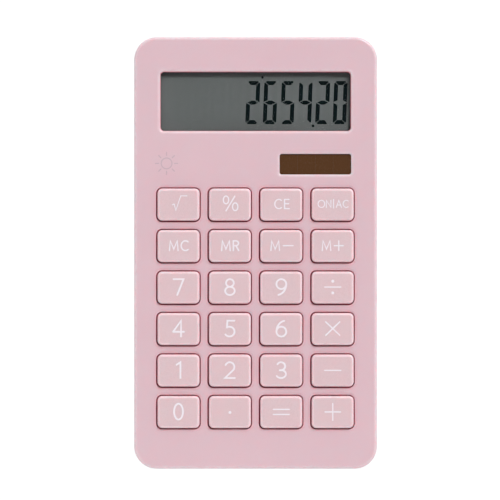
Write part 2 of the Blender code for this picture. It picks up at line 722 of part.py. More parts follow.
def board_components():
    turned(
        "processor_cap",
        [
            (0.0, 0.0),
            (6.0 * MM, 0.0),
            (5.6 * MM, -0.5 * MM),
            (4.2 * MM, -0.95 * MM),
            (2.2 * MM, -1.15 * MM),
            (0.0, -1.2 * MM),
        ],
        EPOXY,
        (0.0, -8.0 * MM, BOARD_Z - GAP),
    )
    lying_component(
        "storage_capacitor",
        28.0 * MM,
        [
            (0.0, 7.0 * MM),
            (1.8 * MM, 7.0 * MM),
            (2.0 * MM, 6.8 * MM),
            (2.0 * MM, 1.2 * MM),
            (1.8 * MM, 0.9 * MM),
            (2.0 * MM, 0.6 * MM),
            (2.0 * MM, 0.0),
            (0.0, 0.0),
        ],
        EPOXY,
    )
    lying_component(
        "limiter_led",
        20.0 * MM,
        [
            (0.0, 4.6 * MM),
            (0.8 * MM, 4.35 * MM),
            (1.3 * MM, 3.8 * MM),
            (1.5 * MM, 3.1 * MM),
            (1.5 * MM, 0.8 * MM),
            (1.9 * MM, 0.8 * MM),
            (1.9 * MM, 0.0),
            (0.0, 0.0),
        ],
        RED_RESIN,
    )
    resistor()


def lying_component(name, x, profile, surface):
    """A round component that lies beyond the board's far edge, with two wires back under the board."""
    body_y = BOARD_HIGH_Y + 2.5 * MM
    axis_z = BOARD_Z
    body = turned(name, profile, surface, (0, 0, 0), 14)
    body.data.transform(
        Matrix.Translation((x, body_y, axis_z)) @ Matrix.Rotation(-math.pi / 2, 4, "X")
    )
    wire_z = BOARD_Z - GAP - 0.25 * MM
    for side in (-1, 1):
        wire_x = x + side * 1.0 * MM
        path = [(wire_x, body_y + REACH, wire_z), (wire_x, BOARD_HIGH_Y - 2.0 * MM, wire_z)]
        wire = tube(f"{name}_wire_{side}", path, 0.25 * MM, STEEL, HELPERS, 1)
        wire.hide_render = True
        wire.display_type = "WIRE"
        join(body, wire)


def resistor():
    """An axial resistor under the board, with its wires bent up to it."""
    half = 1.8 * MM
    body = turned(
        "resistor",
        [
            (0.0, half),
            (0.7 * MM, half),
            (0.85 * MM, half - 0.4 * MM),
            (0.7 * MM, half - 0.8 * MM),
            (0.7 * MM, 0.8 * MM - half),
            (0.85 * MM, 0.4 * MM - half),
            (0.7 * MM, -half),
            (0.0, -half),
        ],
        RIBBON_FILM,
        (0, 0, 0),
        11,
    )
    place = Vector((16.0 * MM, -30.0 * MM, BOARD_Z - 1.1 * MM))
    body.data.transform(Matrix.Translation(place) @ Matrix.Rotation(math.pi / 2, 4, "Y"))
    for side in (-1, 1):
        end_z = BOARD_Z - GAP - place.z
        bend = 3.2 * MM
        run = [(side * 0.9 * MM, 0, 0), (side * (bend - 0.4 * MM), 0, 0)]
        turn = [(side * bend, 0, 0.4 * MM), (side * bend, 0, end_z)]
        path = [place + Vector(point) for point in (*run, *turn)]
        wire = tube(f"resistor_wire_{side}", path, 0.25 * MM, STEEL, HELPERS, 1)
        wire.hide_render = True
        wire.display_type = "WIRE"
        join(body, wire)


# ---------------------------------------------------------------- display and solar cell
def display():
    bm = bmesh.new()
    lens_size = (WINDOW_WIDTH + 2 * LENS_MARGIN, WINDOW_LENGTH + 2 * LENS_MARGIN)
    add_plate(bm, (0, WINDOW_Y), lens_size, LENS_Z, LENS_TOP_Z, 1.0 * MM, 2)
    part("display_window", bm, CLEAR_PLASTIC)

    film_size = (GLASS_WIDTH - 2 * FILM_INSET, GLASS_LENGTH - 2 * FILM_INSET)
    flat_piece("lcd_front_polariser", film_size, WINDOW_Y, FRONT_FILM_Z, FILM_THICKNESS, FILM)
    glass_size = (GLASS_WIDTH, GLASS_LENGTH)
    flat_piece(
        "lcd_front_glass", glass_size, WINDOW_Y, FRONT_GLASS_Z, GLASS_THICKNESS, DISPLAY_GLASS
    )
    rear_size = (GLASS_WIDTH, GLASS_LENGTH + GLASS_LEDGE)
    rear_y = WINDOW_Y - GLASS_LEDGE / 2
    flat_piece("lcd_rear_glass", rear_size, rear_y, REAR_GLASS_Z, GLASS_THICKNESS, DISPLAY_GLASS)
    flat_piece("lcd_reflector", film_size, WINDOW_Y, REFLECTOR_Z, FILM_THICKNESS, FILM)

    display_clamp()

    ledge_y = GLASS_LOW_Y - GLASS_LEDGE
    ledge_z = REAR_GLASS_Z + GLASS_THICKNESS + GAP + RIBBON_THICKNESS / 2
    board_z = BOARD_TOP_Z + GAP + RIBBON_THICKNESS / 2
    path = smooth_path(
        [
            (RIBBON_LOW_X, GLASS_LOW_Y - 0.4 * MM, ledge_z),
            (RIBBON_LOW_X, ledge_y - 0.3 * MM, ledge_z),
            (RIBBON_LOW_X, ledge_y - 3.0 * MM, (ledge_z + board_z) / 2 + 0.4 * MM),
            (RIBBON_LOW_X, BOARD_HIGH_Y + 0.6 * MM, board_z + 0.15 * MM),
            (RIBBON_LOW_X, BOARD_HIGH_Y - 1.2 * MM, board_z),
            (RIBBON_LOW_X, BOARD_HIGH_Y - 4.0 * MM, board_z),
        ],
        3,
    )
    across = (RIBBON_HIGH_X - RIBBON_LOW_X, 0, 0)
    strip("lcd_ribbon", path, across, RIBBON_THICKNESS, RIBBON_FILM)

    bm = bmesh.new()
    solar_size = (SOLAR_WIDTH + 2 * SOLAR_MARGIN_X, SOLAR_LENGTH + 2 * SOLAR_MARGIN_Y)
    add_plate(bm, (SOLAR_X, SOLAR_Y), solar_size, SOLAR_Z, SOLAR_Z + SOLAR_THICKNESS)
    part("solar_cell", bm, SOLAR_GLASS)


def display_clamp():
    """The thin steel frame, staked onto four pegs, that holds the display stack up against its ledge."""
    z_high = REFLECTOR_Z - GAP
    z_low = z_high - CLAMP_THICKNESS
    size = (2 * (PEG_X + 1.3 * MM), GLASS_LENGTH + 2 * POCKET_GAP)
    bm = bmesh.new()
    add_plate(bm, (0, WINDOW_Y), size, z_low, z_high, 1.5 * MM, 2)
    clamp = part("display_clamp", bm, STEEL)
    bm = bmesh.new()
    inner = (size[0] - 4 * CLAMP_BAR, size[1] - 2 * CLAMP_BAR)
    add_plate(bm, (0, WINDOW_Y), inner, z_low - REACH, z_high + REACH, 1.0 * MM, 2)
    for centre in PEG_CENTRES:
        add_rod(bm, centre, PEG_RADIUS + SLIDE_GAP, z_low - REACH, z_high + REACH, 8)
    cut(clamp, helper("clamp_openings", bm))


def flat_piece(name, size, y, z, thickness, surface):
    bm = bmesh.new()
    add_plate(bm, (0, y), size, z, z + thickness)
    part(name, bm, surface)


# ---------------------------------------------------------------- battery and leads
def battery():
    rim = 0.25 * MM
    cap_radius = CELL_RADIUS - 1.3 * MM
    cap_height = 0.35 * MM
    turned(
        "button_cell",
        [
            (0.0, CELL_HEIGHT),
            (cap_radius, CELL_HEIGHT),
            (cap_radius + rim, CELL_HEIGHT - cap_height),
            (CELL_RADIUS - rim, CELL_HEIGHT - cap_height),
            (CELL_RADIUS, CELL_HEIGHT - cap_height - rim),
            (CELL_RADIUS, rim),
            (CELL_RADIUS - rim, 0.0),
            (0.0, 0.0),
        ],
        STEEL,
        (CELL_X, CELL_Y, CELL_Z),
        28,
    )

    # The minus leaf lies in the roof of the well, just over the cell.
    minus_z = WELL_TOP_Z - GAP - LEAF_THICKNESS / 2
    minus_path = [
        (CELL_X - 1.6 * MM, CELL_Y + 3.0 * MM, minus_z),
        (CELL_X - 1.6 * MM, LEAF_TAIL_Y, minus_z),
    ]
    strip("minus_contact", minus_path, (3.2 * MM, 0, 0), LEAF_THICKNESS, STEEL)

    # The plus leaf bows against the side of the can, and its tail runs straight out of the tub.
    touch_x = CELL_X - CELL_RADIUS - GAP - LEAF_THICKNESS / 2
    tail_x = touch_x - 0.7 * MM
    bow_half = 4.0 * MM
    bow_steps = 8
    bow = []
    for step in range(bow_steps + 1):
        along = 1.0 - 2.0 * step / bow_steps
        bulge = 0.5 + 0.5 * math.cos(math.pi * along)
        bow.append((tail_x + (touch_x - tail_x) * bulge, CELL_Y + bow_half * along, CELL_Z + 0.5 * MM))
    plus_path = [*bow, (tail_x, LEAF_TAIL_Y, CELL_Z + 0.5 * MM)]
    strip("plus_contact", plus_path, (0, 0, 1.8 * MM), LEAF_THICKNESS, STEEL)
    return minus_z, tail_x


def leads(minus_z, tail_x):
    """Four insulated wires, each from its contact to a pad on the board."""
    pad_y = BOARD_HIGH_Y - 2.5 * MM
    under_z = BOARD_Z - GAP - LEAD_RADIUS
    start_y = LEAF_TAIL_Y - 0.3 * MM
    plus_z = CELL_Z + 1.4 * MM
    plus_route = [
        (tail_x, start_y, plus_z),
        (tail_x, start_y - 3.0 * MM, plus_z),
        (tail_x - 1.5 * MM, start_y - 10.0 * MM, plus_z),
        (tail_x + 0.5 * MM, BOARD_HIGH_Y + 5.0 * MM, under_z),
        (tail_x + 2.0 * MM, pad_y, under_z),
    ]
    tube("battery_lead_red", smooth_path(plus_route, 3), LEAD_RADIUS, RED_PVC)
    minus_route = [
        (CELL_X, start_y, minus_z),
        (CELL_X, start_y - 2.5 * MM, minus_z),
        (CELL_X + 1.5 * MM, start_y - 8.0 * MM, minus_z - 0.6 * MM),
        (CELL_X - 0.5 * MM, BOARD_HIGH_Y + 5.0 * MM, under_z),
        (CELL_X - 1.0 * MM, pad_y, under_z),
    ]
    tube("battery_lead_black", smooth_path(minus_route, 3), LEAD_RADIUS, BLACK_PVC)

    top_z = BOARD_TOP_Z + GAP + LEAD_RADIUS
    for name, surface, x in (
        ("solar_lead_red", RED_PVC, SOLAR_X + SOLAR_WIDTH / 2 - 2.0 * MM),
        ("solar_lead_black", BLACK_PVC, SOLAR_X - SOLAR_WIDTH / 2 + 5.0 * MM),
    ):
        route = [
            (x, SOLAR_Y + 1.0 * MM, SOLAR_Z - SLIDE_GAP),
            (x, SOLAR_Y + 1.0 * MM, SOLAR_Z - SLIDE_GAP - 0.8 * MM),
            (x, SOLAR_Y - 0.2 * MM, top_z + 0.7 * MM),
            (x, BOARD_HIGH_Y - 1.2 * MM, top_z + 0.1 * MM),
            (x, pad_y - 1.0 * MM, top_z),
        ]
        tube(name, smooth_path(route, 3), LEAD_RADIUS, surface)


# ---------------------------------------------------------------- screws and feet
def screw_mesh(length):
    """A pan-head screw about its own axis, head down, with height 0 under the head."""
    head = -SCREW_HEAD_HEIGHT
    profile = [
        (0.0, length),
        (0.3 * MM, length),
        (SCREW_RADIUS, length - 1.0 * MM),
        (SCREW_RADIUS, 0.0),
        (SCREW_HEAD_RADIUS, 0.0),
        (SCREW_HEAD_RADIUS, head + 0.5 * MM),
        (SCREW_HEAD_RADIUS - 0.5 * MM, head),
        (0.0, head),
    ]
    blank = turned("screw_blank", profile, STEEL, (0, 0, 0), 10)
    slots = []
    for turn, size in enumerate(((2.2 * MM, 0.5 * MM), (0.5 * MM, 2.2 * MM))):
        bm = bmesh.new()
        add_plate(bm, (0, 0), size, head - REACH, head + 0.6 * MM)
        slots.append(helper(f"screw_slot_{turn}", bm))
        cut(blank, slots[-1])
    mesh = evaluated_mesh(blank)
    for obj in (blank, *slots):
        bpy.data.objects.remove(obj)
    return mesh


def screws():
    for name, centres, seat_z, length in (
        ("case_screw", CASE_SCREW_CENTRES, HEAD_SEAT_Z - GAP, 6.0 * MM),
        ("board_screw", BOARD_SCREW_CENTRES, BOARD_Z - GAP, 4.6 * MM),
    ):
        mesh = screw_mesh(length)
        for number, centre in enumerate(centres, start=1):
            screw = bpy.data.objects.new(f"{name}_{number}", mesh)
            screw.location = (*centre, seat_z)
            PARTS.objects.link(screw)


def feet():
    thickness = FOOT_PROUD + FOOT_RECESS - GAP
    edge = 0.3 * MM
    for number, centre in enumerate(FOOT_CENTRES, start=1):
        turned(
            f"rubber_foot_{number}",
            [
                (0.0, thickness),
                (FOOT_RADIUS, thickness),
                (FOOT_RADIUS, edge),
                (FOOT_RADIUS - edge, 0.0),
                (0.0, 0.0),
            ],
            RUBBER,
            (*centre, 0.0),
            16,
        )


def shade(obj):
    if obj.type == "MESH":
        obj.data.shade_smooth()
        obj.data.set_sharp_from_angle(angle=math.radians(35))


upper_case()
lower_case()
battery_cover()
keys()
keypad_mat()
circuit_board()
board_components()
display()
leads(*battery())
screws()
feet()
for made in PARTS.objects:
    shade(made)
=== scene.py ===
# %% [markdown]
# # A slim solar desk calculator
# The real object is two pink moulded shells screwed together round a board, a rubber mat, a display and
# a solar cell, with twenty-four keys between them. It could be modelled freehand, but a frame of plain
# solids already says where every piece sits and how it moves. So each cell below reads a place or a size
# from that frame, builds the fine surface there, and lets it ride on the right body.

# %% Load the frame
import math

import bmesh
import bpy
from mathutils import Matrix, Vector


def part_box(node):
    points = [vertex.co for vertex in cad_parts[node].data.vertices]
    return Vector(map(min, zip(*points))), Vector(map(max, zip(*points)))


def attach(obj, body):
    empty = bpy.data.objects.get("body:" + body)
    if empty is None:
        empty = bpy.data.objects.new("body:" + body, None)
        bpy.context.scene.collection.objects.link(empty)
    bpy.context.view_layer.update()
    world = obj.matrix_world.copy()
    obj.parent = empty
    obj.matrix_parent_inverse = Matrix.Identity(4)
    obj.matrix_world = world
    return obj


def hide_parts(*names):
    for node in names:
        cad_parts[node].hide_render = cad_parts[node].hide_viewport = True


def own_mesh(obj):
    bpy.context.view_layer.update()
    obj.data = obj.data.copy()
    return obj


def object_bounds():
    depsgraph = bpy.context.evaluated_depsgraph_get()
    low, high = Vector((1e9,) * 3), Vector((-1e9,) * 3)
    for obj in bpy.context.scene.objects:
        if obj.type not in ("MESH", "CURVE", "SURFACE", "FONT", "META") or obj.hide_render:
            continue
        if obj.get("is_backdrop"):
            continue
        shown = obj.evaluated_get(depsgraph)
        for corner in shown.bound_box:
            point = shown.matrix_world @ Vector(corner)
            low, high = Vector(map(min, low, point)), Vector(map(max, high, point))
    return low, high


MM = 0.001
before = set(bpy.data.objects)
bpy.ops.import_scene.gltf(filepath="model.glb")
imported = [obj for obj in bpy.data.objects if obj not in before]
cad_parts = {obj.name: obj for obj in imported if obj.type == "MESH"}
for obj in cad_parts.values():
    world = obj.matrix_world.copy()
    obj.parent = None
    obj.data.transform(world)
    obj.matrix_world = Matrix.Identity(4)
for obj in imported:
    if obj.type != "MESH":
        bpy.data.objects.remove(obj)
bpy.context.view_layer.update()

# %% [markdown]
# ## Camera
# A product picture of something this flat is taken from straight above. A long lens from far off keeps
# the walls of the keys from leaning. The lens could be set by eye, but it follows from three lengths: the
# distance, the width that the view has at the face of the case, and the width of the sensor.

# %% Place the camera
case_low, case_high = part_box("upper_case")
CASE_TOP = case_high.z
CASE_WIDTH = case_high.x - case_low.x
CASE_LENGTH = case_high.y - case_low.y
CAMERA_HEIGHT = 1200 * MM
VIEW_WIDTH = 185.3 * MM
VIEW_CENTRE = (-2.08 * MM, 1.1 * MM)


def show(name, data, place=(0.0, 0.0, 0.0)):
    """A new object in the scene."""
    made = bpy.data.objects.new(name, data)
    made.location = place
    bpy.context.scene.collection.objects.link(made)
    return made


camera_data = bpy.data.cameras.new("studio_camera")
camera_data.sensor_width = 36.0
camera_data.lens = camera_data.sensor_width * CAMERA_HEIGHT / VIEW_WIDTH
camera = show("studio_camera", camera_data, (*VIEW_CENTRE, CASE_TOP + CAMERA_HEIGHT))
bpy.context.scene.camera = camera
bpy.context.scene.view_settings.view_transform = "Standard"
print("lens:", round(camera_data.lens, 1), "mm")

# %% [markdown]
# ## Node helpers
# Every finish below is a small tree of shader nodes. They could be wired by hand one line at a time, but
# two short helpers keep the trees readable: one adds a node and fills its sockets, whether with a number
# or with a link, and one does the same for a sum on numbers.


# %% Add nodes and fill their sockets
def add_node(tree, kind, inputs=None, **settings):
    made = tree.nodes.new(kind)
    for name, value in settings.items():
        setattr(made, name, value)
    for name, value in (inputs or {}).items():
        if isinstance(value, bpy.types.NodeSocket):
            tree.links.new(value, made.inputs[name])
        else:
            made.inputs[name].default_value = value
    return made


def calculate(tree, operation, first, second=0.5, third=0.5):
    made = add_node(tree, "ShaderNodeMath", {0: first, 1: second, 2: third}, operation=operation)
    return made.outputs[0]


def blend_colours(tree, share, first, second):
    made = add_node(tree, "ShaderNodeMix", {0: share, 6: first, 7: second}, data_type="RGBA")
    return made.outputs[2]


print("helpers ready")

# %% [markdown]
# ## Studio light
# The calculator lies in a white light tent. A large soft lamp beyond its far right corner gives the short
# shadows in the display recess and beside the keys, a small one opposite fills them a little, and the
# bright walls of the tent show as a pale line along every rounded edge. Lamps alone would leave those
# edges dark. So the world is bright near the horizon, and dim overhead, where the camera looks out.

# %% Light the tent
world = bpy.data.worlds.new("light_tent")
world.use_nodes = True
bpy.context.scene.world = world
tent = world.node_tree
tent.nodes.clear()
upward = add_node(
    tent, "ShaderNodeSeparateXYZ", {0: add_node(tent, "ShaderNodeTexCoord").outputs["Generated"]}
)
# Brightness of the tent against height: 0 at the horizon, 1 straight overhead.
TENT = ((0.0, 1.5), (0.2, 1.3), (0.4, 0.65), (0.7, 0.16), (0.9, 0.03), (1.0, 0.02))
BRIGHTEST = 1.5
falloff = add_node(tent, "ShaderNodeValToRGB", {"Fac": upward.outputs["Z"]})
stops = falloff.color_ramp.elements
for height, brightness in TENT[1:-1]:
    stops.new(height)
for stop, (height, brightness) in zip(stops, TENT):
    stop.position = height
    stop.color = (*[brightness / BRIGHTEST] * 3, 1.0)
walls = add_node(
    tent, "ShaderNodeBackground", {"Color": falloff.outputs["Color"], "Strength": BRIGHTEST}
)
add_node(tent, "ShaderNodeOutputWorld", {"Surface": walls.outputs["Background"]})


def add_lamp(name, place, size, watts):
    data = bpy.data.lights.new(name, "AREA")
    data.shape = "RECTANGLE"
    data.size, data.size_y = size
    data.energy = watts
    lamp = show(name, data, place)
    lamp.rotation_mode = "QUATERNION"
    lamp.rotation_quaternion = (-Vector(place)).to_track_quat("-Z", "Y")


add_lamp("softbox", (2.1, 3.5, 4.1), (1.6, 1.9), 222.0)
add_lamp("fill_lamp", (-0.45, -0.95, 0.85), (0.8, 0.8), 4.6)
print("lamps: softbox and fill")

# %% [markdown]
# ## Floor
# The sheet that the calculator lies on comes out pure white. A white surface alone would hold the
# shadow of the case, so the sheet also glows, as paper lit from behind does. It glows less for light
# that goes on to the calculator than for what is seen directly, or the sides would be washed out.

# %% Lay the floor
floor_mesh = bpy.data.meshes.new("floor")
FLOOR_HALF = 3.0
corners = [(x * FLOOR_HALF, y * FLOOR_HALF, 0.0) for x, y in ((-1, -1), (1, -1), (1, 1), (-1, 1))]
floor_mesh.from_pydata(corners, [], [(0, 1, 2, 3)])
floor = show("floor", floor_mesh)
floor_paper = bpy.data.materials.new("lit_paper")
floor_paper.use_nodes = True
paper = floor_paper.node_tree
paper_shader = paper.nodes["Principled BSDF"]
paper_shader.inputs["Base Color"].default_value = (0.10, 0.10, 0.10, 1.0)
paper_shader.inputs["Roughness"].default_value = 0.9
paper_shader.inputs["Emission Color"].default_value = (1.0, 1.0, 1.0, 1.0)
PAPER_GLOW = 0.35
EXTRA_IF_SEEN = 0.62
seen = add_node(paper, "ShaderNodeLightPath").outputs["Is Camera Ray"]
glow = calculate(paper, "MULTIPLY_ADD", seen, EXTRA_IF_SEEN, PAPER_GLOW)
paper.links.new(glow, paper_shader.inputs["Emission Strength"])
floor_mesh.materials.append(floor_paper)
floor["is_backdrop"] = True
print("floor at height", floor.location.z)

# %% [markdown]
# ## Outlines and lofts
# Nearly every plastic piece here has a rounded rectangle as its outline, and changes only in size and
# height from one level to the next. Bevelled cubes would give the shape, but not the control over each
# fillet. So a piece is a stack of rings of points, joined ring to ring, as a lofted surface is.


# %% Draw an outline and stack rings of it
def rounded_outline(width, length, corner, steps=8):
    """Points round a rectangle with round corners, anticlockwise."""
    corner = max(0.01 * MM, min(corner, width / 2 - 0.01 * MM, length / 2 - 0.01 * MM))
    outline = []
    for quarter, (side_x, side_y) in enumerate(((1, 1), (-1, 1), (-1, -1), (1, -1))):
        pivot = Vector((side_x * (width / 2 - corner), side_y * (length / 2 - corner)))
        for step in range(steps + 1):
            turn = math.radians(90.0 * (quarter + step / steps))
            outline.append(pivot + corner * Vector((math.cos(turn), math.sin(turn))))
    return outline


def circle_outline(radius, sides=48):
    turns = [2.0 * math.pi * side / sides for side in range(sides)]
    return [radius * Vector((math.cos(turn), math.sin(turn))) for turn in turns]


def shaded_mesh():
    """A new bmesh whose points also store how much painted shade they get, from 0 to 1, by how deep they lie
    in a gap.
    """
    mesh = bmesh.new()
    mesh.verts.layers.float.new("depth")
    return mesh


def add_ring(mesh, outline, height, centre=(0.0, 0.0), depth=0.0):
    """A ring of points at one height."""
    ring = [mesh.verts.new((point.x + centre[0], point.y + centre[1], height)) for point in outline]
    if depth:
        layer = mesh.verts.layers.float["depth"]
        for vert in ring:
            vert[layer] = depth
    return ring


def join_rings(mesh, rings):
    """Joins each ring to the next with one band of quads."""
    for ring, following in zip(rings, rings[1:]):
        for side in range(len(ring)):
            ahead = (side + 1) % len(ring)
            mesh.faces.new((ring[side], ring[ahead], following[ahead], following[side]))


def close_loft(mesh, rings):
    """Joins the rings, and closes the first and the last with a flat face."""
    join_rings(mesh, rings)
    mesh.faces.new(list(reversed(rings[0])))
    mesh.faces.new(rings[-1])


def fill_between(mesh, loops):
    """Fills the flat area inside the first ring, round the others."""
    edges = []
    for loop in loops:
        for start, end in zip(loop, loop[1:] + loop[:1]):
            edges.append(mesh.edges.get((start, end)) or mesh.edges.new((start, end)))
    bmesh.ops.triangle_fill(mesh, use_beauty=True, edges=edges)


def fillet(drop, inset, steps=6):
    """(inset, drop) pairs round a quarter of an ellipse, from the flat face to the upright wall."""
    turns = [math.radians(90.0 * step / steps) for step in range(steps + 1)]
    return [(inset * (1.0 - math.sin(turn)), drop * (1.0 - math.cos(turn))) for turn in turns]


print("a round corner has", len(rounded_outline(1.0, 1.0, 0.2)) // 4, "points")

# %% [markdown]
# ## Finishing a mesh
# A moulded face has to look flat right up to its fillet. Smooth shading alone would bend the light over
# the whole face, so weighted normals let the large face decide. The same step measures how tightly the
# surface bends outwards at each point and stores it, because worn edges in the finishes depend on it, and
# so does the highlight that the finishes paint along them.

# %% Turn a bmesh into a shaded piece that rides on a body
SHARP_ANGLE = math.radians(40)


def mark_edges(data):
    """Stores at each point how tightly the surface bends outwards, from 0 to 1 for a 0.5 mm radius."""
    mesh = bmesh.new()
    mesh.from_mesh(data)
    bends = []
    for vert in mesh.verts:
        tightest = 0.0
        for edge in vert.link_edges:
            if len(edge.link_faces) == 2 and edge.calc_length() > 0.0:
                reach = min(face.calc_area() for face in edge.link_faces) / edge.calc_length()
                bend = edge.calc_face_angle_signed(0.0) / max(reach, 0.02 * MM)
                tightest = max(tightest, bend * 0.5 * MM)
        bends.append(min(1.0, tightest))
    mesh.free()
    data.attributes.new("edge", "FLOAT", "POINT").data.foreach_set("value", bends)


def as_object(name, mesh):
    bmesh.ops.recalc_face_normals(mesh, faces=mesh.faces)
    data = bpy.data.meshes.new(name)
    mesh.to_mesh(data)
    mesh.free()
    return show(name, data)


def shade(data):
    data.shade_smooth()
    data.set_sharp_from_angle(angle=SHARP_ANGLE)
    mark_edges(data)


def shared_mesh(blank):
    """The shaded mesh of a blank, which several pieces will use. The blank itself goes."""
    shade(blank.data)
    data = blank.data
    bpy.data.objects.remove(blank)
    return data


def weigh_normals(piece):
    weighted = piece.modifiers.new("flat faces", "WEIGHTED_NORMAL")
    weighted.keep_sharp = True


def finish_piece(piece, body, nodes=()):
    shade(piece.data)
    weigh_normals(piece)
    return settle(piece, body, nodes)


def settle(piece, body, nodes=()):
    """Lets a piece ride on its body, and hides the solids that it replaces."""
    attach(piece, body)
    if nodes:
        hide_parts(*nodes)
    return piece


def count_faces(piece):
    return f"{piece.name}: {len(piece.data.polygons)} faces"


print("sharp above", round(math.degrees(SHARP_ANGLE)), "degrees")

# %% [markdown]
# ## Where the openings are
# The front shell has one opening for each key, one for the display and one for the solar cell. Their
# places could be listed, but each follows from the piece behind it: a key's opening is its cap with a
# small gap all round, and the display's opening is its window less the margin that is glued to the shell.

# %% Work out each opening from the piece behind it
key_nodes = sorted(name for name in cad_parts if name.startswith("key_"))
FLANGE_REACH = 0.9 * MM
KEY_GAP = 0.53 * MM
KEY_LEAN = Vector((0.09, 0.06)) * MM  # the rubber mat holds the keys a little off the middle
LENS_MARGIN = (1.6 * MM, 1.4 * MM)
SOLAR_MARGIN = (1.7 * MM, 1.15 * MM)


def plan_of(node, margin_x=0.0, margin_y=0.0):
    """Centre and size in plan of a solid, less a margin on each side."""
    low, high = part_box(node)
    centre = ((low.x + high.x) / 2, (low.y + high.y) / 2)
    return centre, (high.x - low.x - 2 * margin_x, high.y - low.y - 2 * margin_y)


key_centres = {name: plan_of(name)[0] for name in key_nodes}
KEY_SIZE = plan_of(key_nodes[0], FLANGE_REACH, FLANGE_REACH)[1]
WINDOW_CENTRE, WINDOW_SIZE = plan_of("display_window", *LENS_MARGIN)
SOLAR_CENTRE, SOLAR_SIZE = plan_of("solar_cell", *SOLAR_MARGIN)
KEY_CORNER = 1.65 * MM
WINDOW_CORNER = 1.5 * MM
SOLAR_CORNER = 0.8 * MM
print("key", [round(size / MM, 2) for size in KEY_SIZE], "mm, keys:", len(key_centres))
print("window", [round(size / MM, 2) for size in WINDOW_SIZE], "mm")

# %% [markdown]
# ## Front shell
# The front shell is one injection-moulded skin, 1.8 mm thick. It has a soft edge round its face, a
# small fillet round each opening where the tool is polished, and a rebate inside its lower rim that the
# back shell's lip fits. A cube cut by Booleans would lose the small fillets. So the skin is lofted: down
# the outside, in under the rim, up the inside, and through each opening.

# %% Loft the front shell
CASE_CORNER = 8.3 * MM
WALL = 1.8 * MM
FACE_EDGE = (0.9 * MM, 1.0 * MM)  # how far the soft edge drops, and how far it comes in
RIM_BREAK = 0.15 * MM
FLAT_BAND = 0.4 * MM  # a flat strip beside each fillet: wear and painted highlight end there, painted shade fades in
LIP_REBATE = (0.9 * MM, 1.05 * MM)  # how deep into the wall, and how high above the rim
PLATE_Z = CASE_TOP - WALL


def case_outline(inset):
    return rounded_outline(CASE_WIDTH - 2 * inset, CASE_LENGTH - 2 * inset, CASE_CORNER - inset, 14)


def loft_case(mesh, levels):
    return [add_ring(mesh, case_outline(inset), height) for inset, height in levels]


def loft_opening(mesh, centre, size, corner, levels):
    """Rings through an opening: how far each is widened, its height, and how much painted shade it gets in
    the gap.
    """
    rings = []
    for grow, height, depth in levels:
        outline = rounded_outline(size[0] + 2 * grow, size[1] + 2 * grow, corner + grow, 7)
        rings.append(add_ring(mesh, outline, height, centre, depth))
    return rings


def opening_levels(rim, foot_z, shades=(0.0, 0.1), draft=0.0):
    """An opening's fillet at the face of the case, then its wall, which leans in by its draft.

    The rim is the fillet's drop and width. The shades say how much painted shade its two ends get; the wall
    below gets more, down to full painted shade at its foot.
    """
    steps = 4
    levels = [(rim[1] + 2.2 * FLAT_BAND, CASE_TOP, 0.0), (rim[1] + FLAT_BAND, CASE_TOP, 0.45 * shades[0])]
    for step, (inset, drop) in enumerate(fillet(*rim, steps)):
        levels.append((inset, CASE_TOP - drop, shades[0] + (shades[1] - shades[0]) * step / steps))
    return [*levels, (0.0, CASE_TOP - 2 * rim[0], 0.7), (-draft, foot_z, 1.0)]


LIP_HEIGHT = 0.9 * MM
SEAM_HALF_GAP = 0.15 * MM
SEAM_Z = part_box("lower_case")[1].z - LIP_HEIGHT
rim_z = SEAM_Z + SEAM_HALF_GAP

shell = shaded_mesh()
outer_levels = [(RIM_BREAK, rim_z), (0.0, rim_z + RIM_BREAK)]
outer_levels += [(inset, CASE_TOP - drop) for inset, drop in reversed(fillet(*FACE_EDGE, 9))]
outer_levels.append((FACE_EDGE[1] + FLAT_BAND, CASE_TOP))
outer = loft_case(shell, outer_levels)
inner_levels = [
    (WALL, PLATE_Z),
    (WALL, rim_z + LIP_REBATE[1]),
    (LIP_REBATE[0], rim_z + LIP_REBATE[1]),
    (LIP_REBATE[0], rim_z),
    (RIM_BREAK, rim_z),
]
inner = loft_case(shell, inner_levels[:-1])
join_rings(shell, outer)
join_rings(shell, inner)
join_rings(shell, [inner[-1], outer[0]])

KEY_RIM = (0.22 * MM, 0.22 * MM)
# painted shade at the two ends of each key opening's fillet, from 0 to 1
KEY_SHADES = (0.26, 0.6)
WINDOW_RIM = (0.55 * MM, 0.9 * MM)
WINDOW_DRAFT = 0.2 * MM
SOLAR_RIM = (0.5 * MM, 0.85 * MM)
key_levels = opening_levels(KEY_RIM, PLATE_Z, KEY_SHADES)
key_room = (KEY_SIZE[0] + 2 * KEY_GAP, KEY_SIZE[1] + 2 * KEY_GAP)
openings = [
    loft_opening(shell, Vector(centre) - KEY_LEAN, key_room, KEY_CORNER + KEY_GAP, key_levels)
    for centre in key_centres.values()
]
window_levels = opening_levels(WINDOW_RIM, PLATE_Z, draft=WINDOW_DRAFT)
openings.append(loft_opening(shell, WINDOW_CENTRE, WINDOW_SIZE, WINDOW_CORNER, window_levels))

# The solar cell drops into a pocket behind its opening, and a raised pad behind the plate holds it.
solar_low, solar_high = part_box("solar_cell")
POCKET_REACH = SOLAR_MARGIN[0] + 0.2 * MM
PAD_REACH = POCKET_REACH + 0.8 * MM
pocket_z, pad_z = solar_high.z + 0.1 * MM, solar_low.z - 0.2 * MM
pocket_levels = opening_levels(SOLAR_RIM, pocket_z)
# below the opening, the pocket's walls get full painted shade
pocket_levels += [(POCKET_REACH, pocket_z, 1.0), (POCKET_REACH, pad_z, 1.0)]
pocket_levels += [(PAD_REACH, pad_z, 1.0), (PAD_REACH, PLATE_Z, 1.0)]
openings.append(loft_opening(shell, SOLAR_CENTRE, SOLAR_SIZE, SOLAR_CORNER, pocket_levels))
for rings in openings:
    join_rings(shell, rings)
fill_between(shell, [outer[-1]] + [rings[0] for rings in openings])
fill_between(shell, [inner[0]] + [rings[-1] for rings in openings])
front_shell = finish_piece(as_object("front_shell", shell), "case", ["upper_case"])
print(count_faces(front_shell))

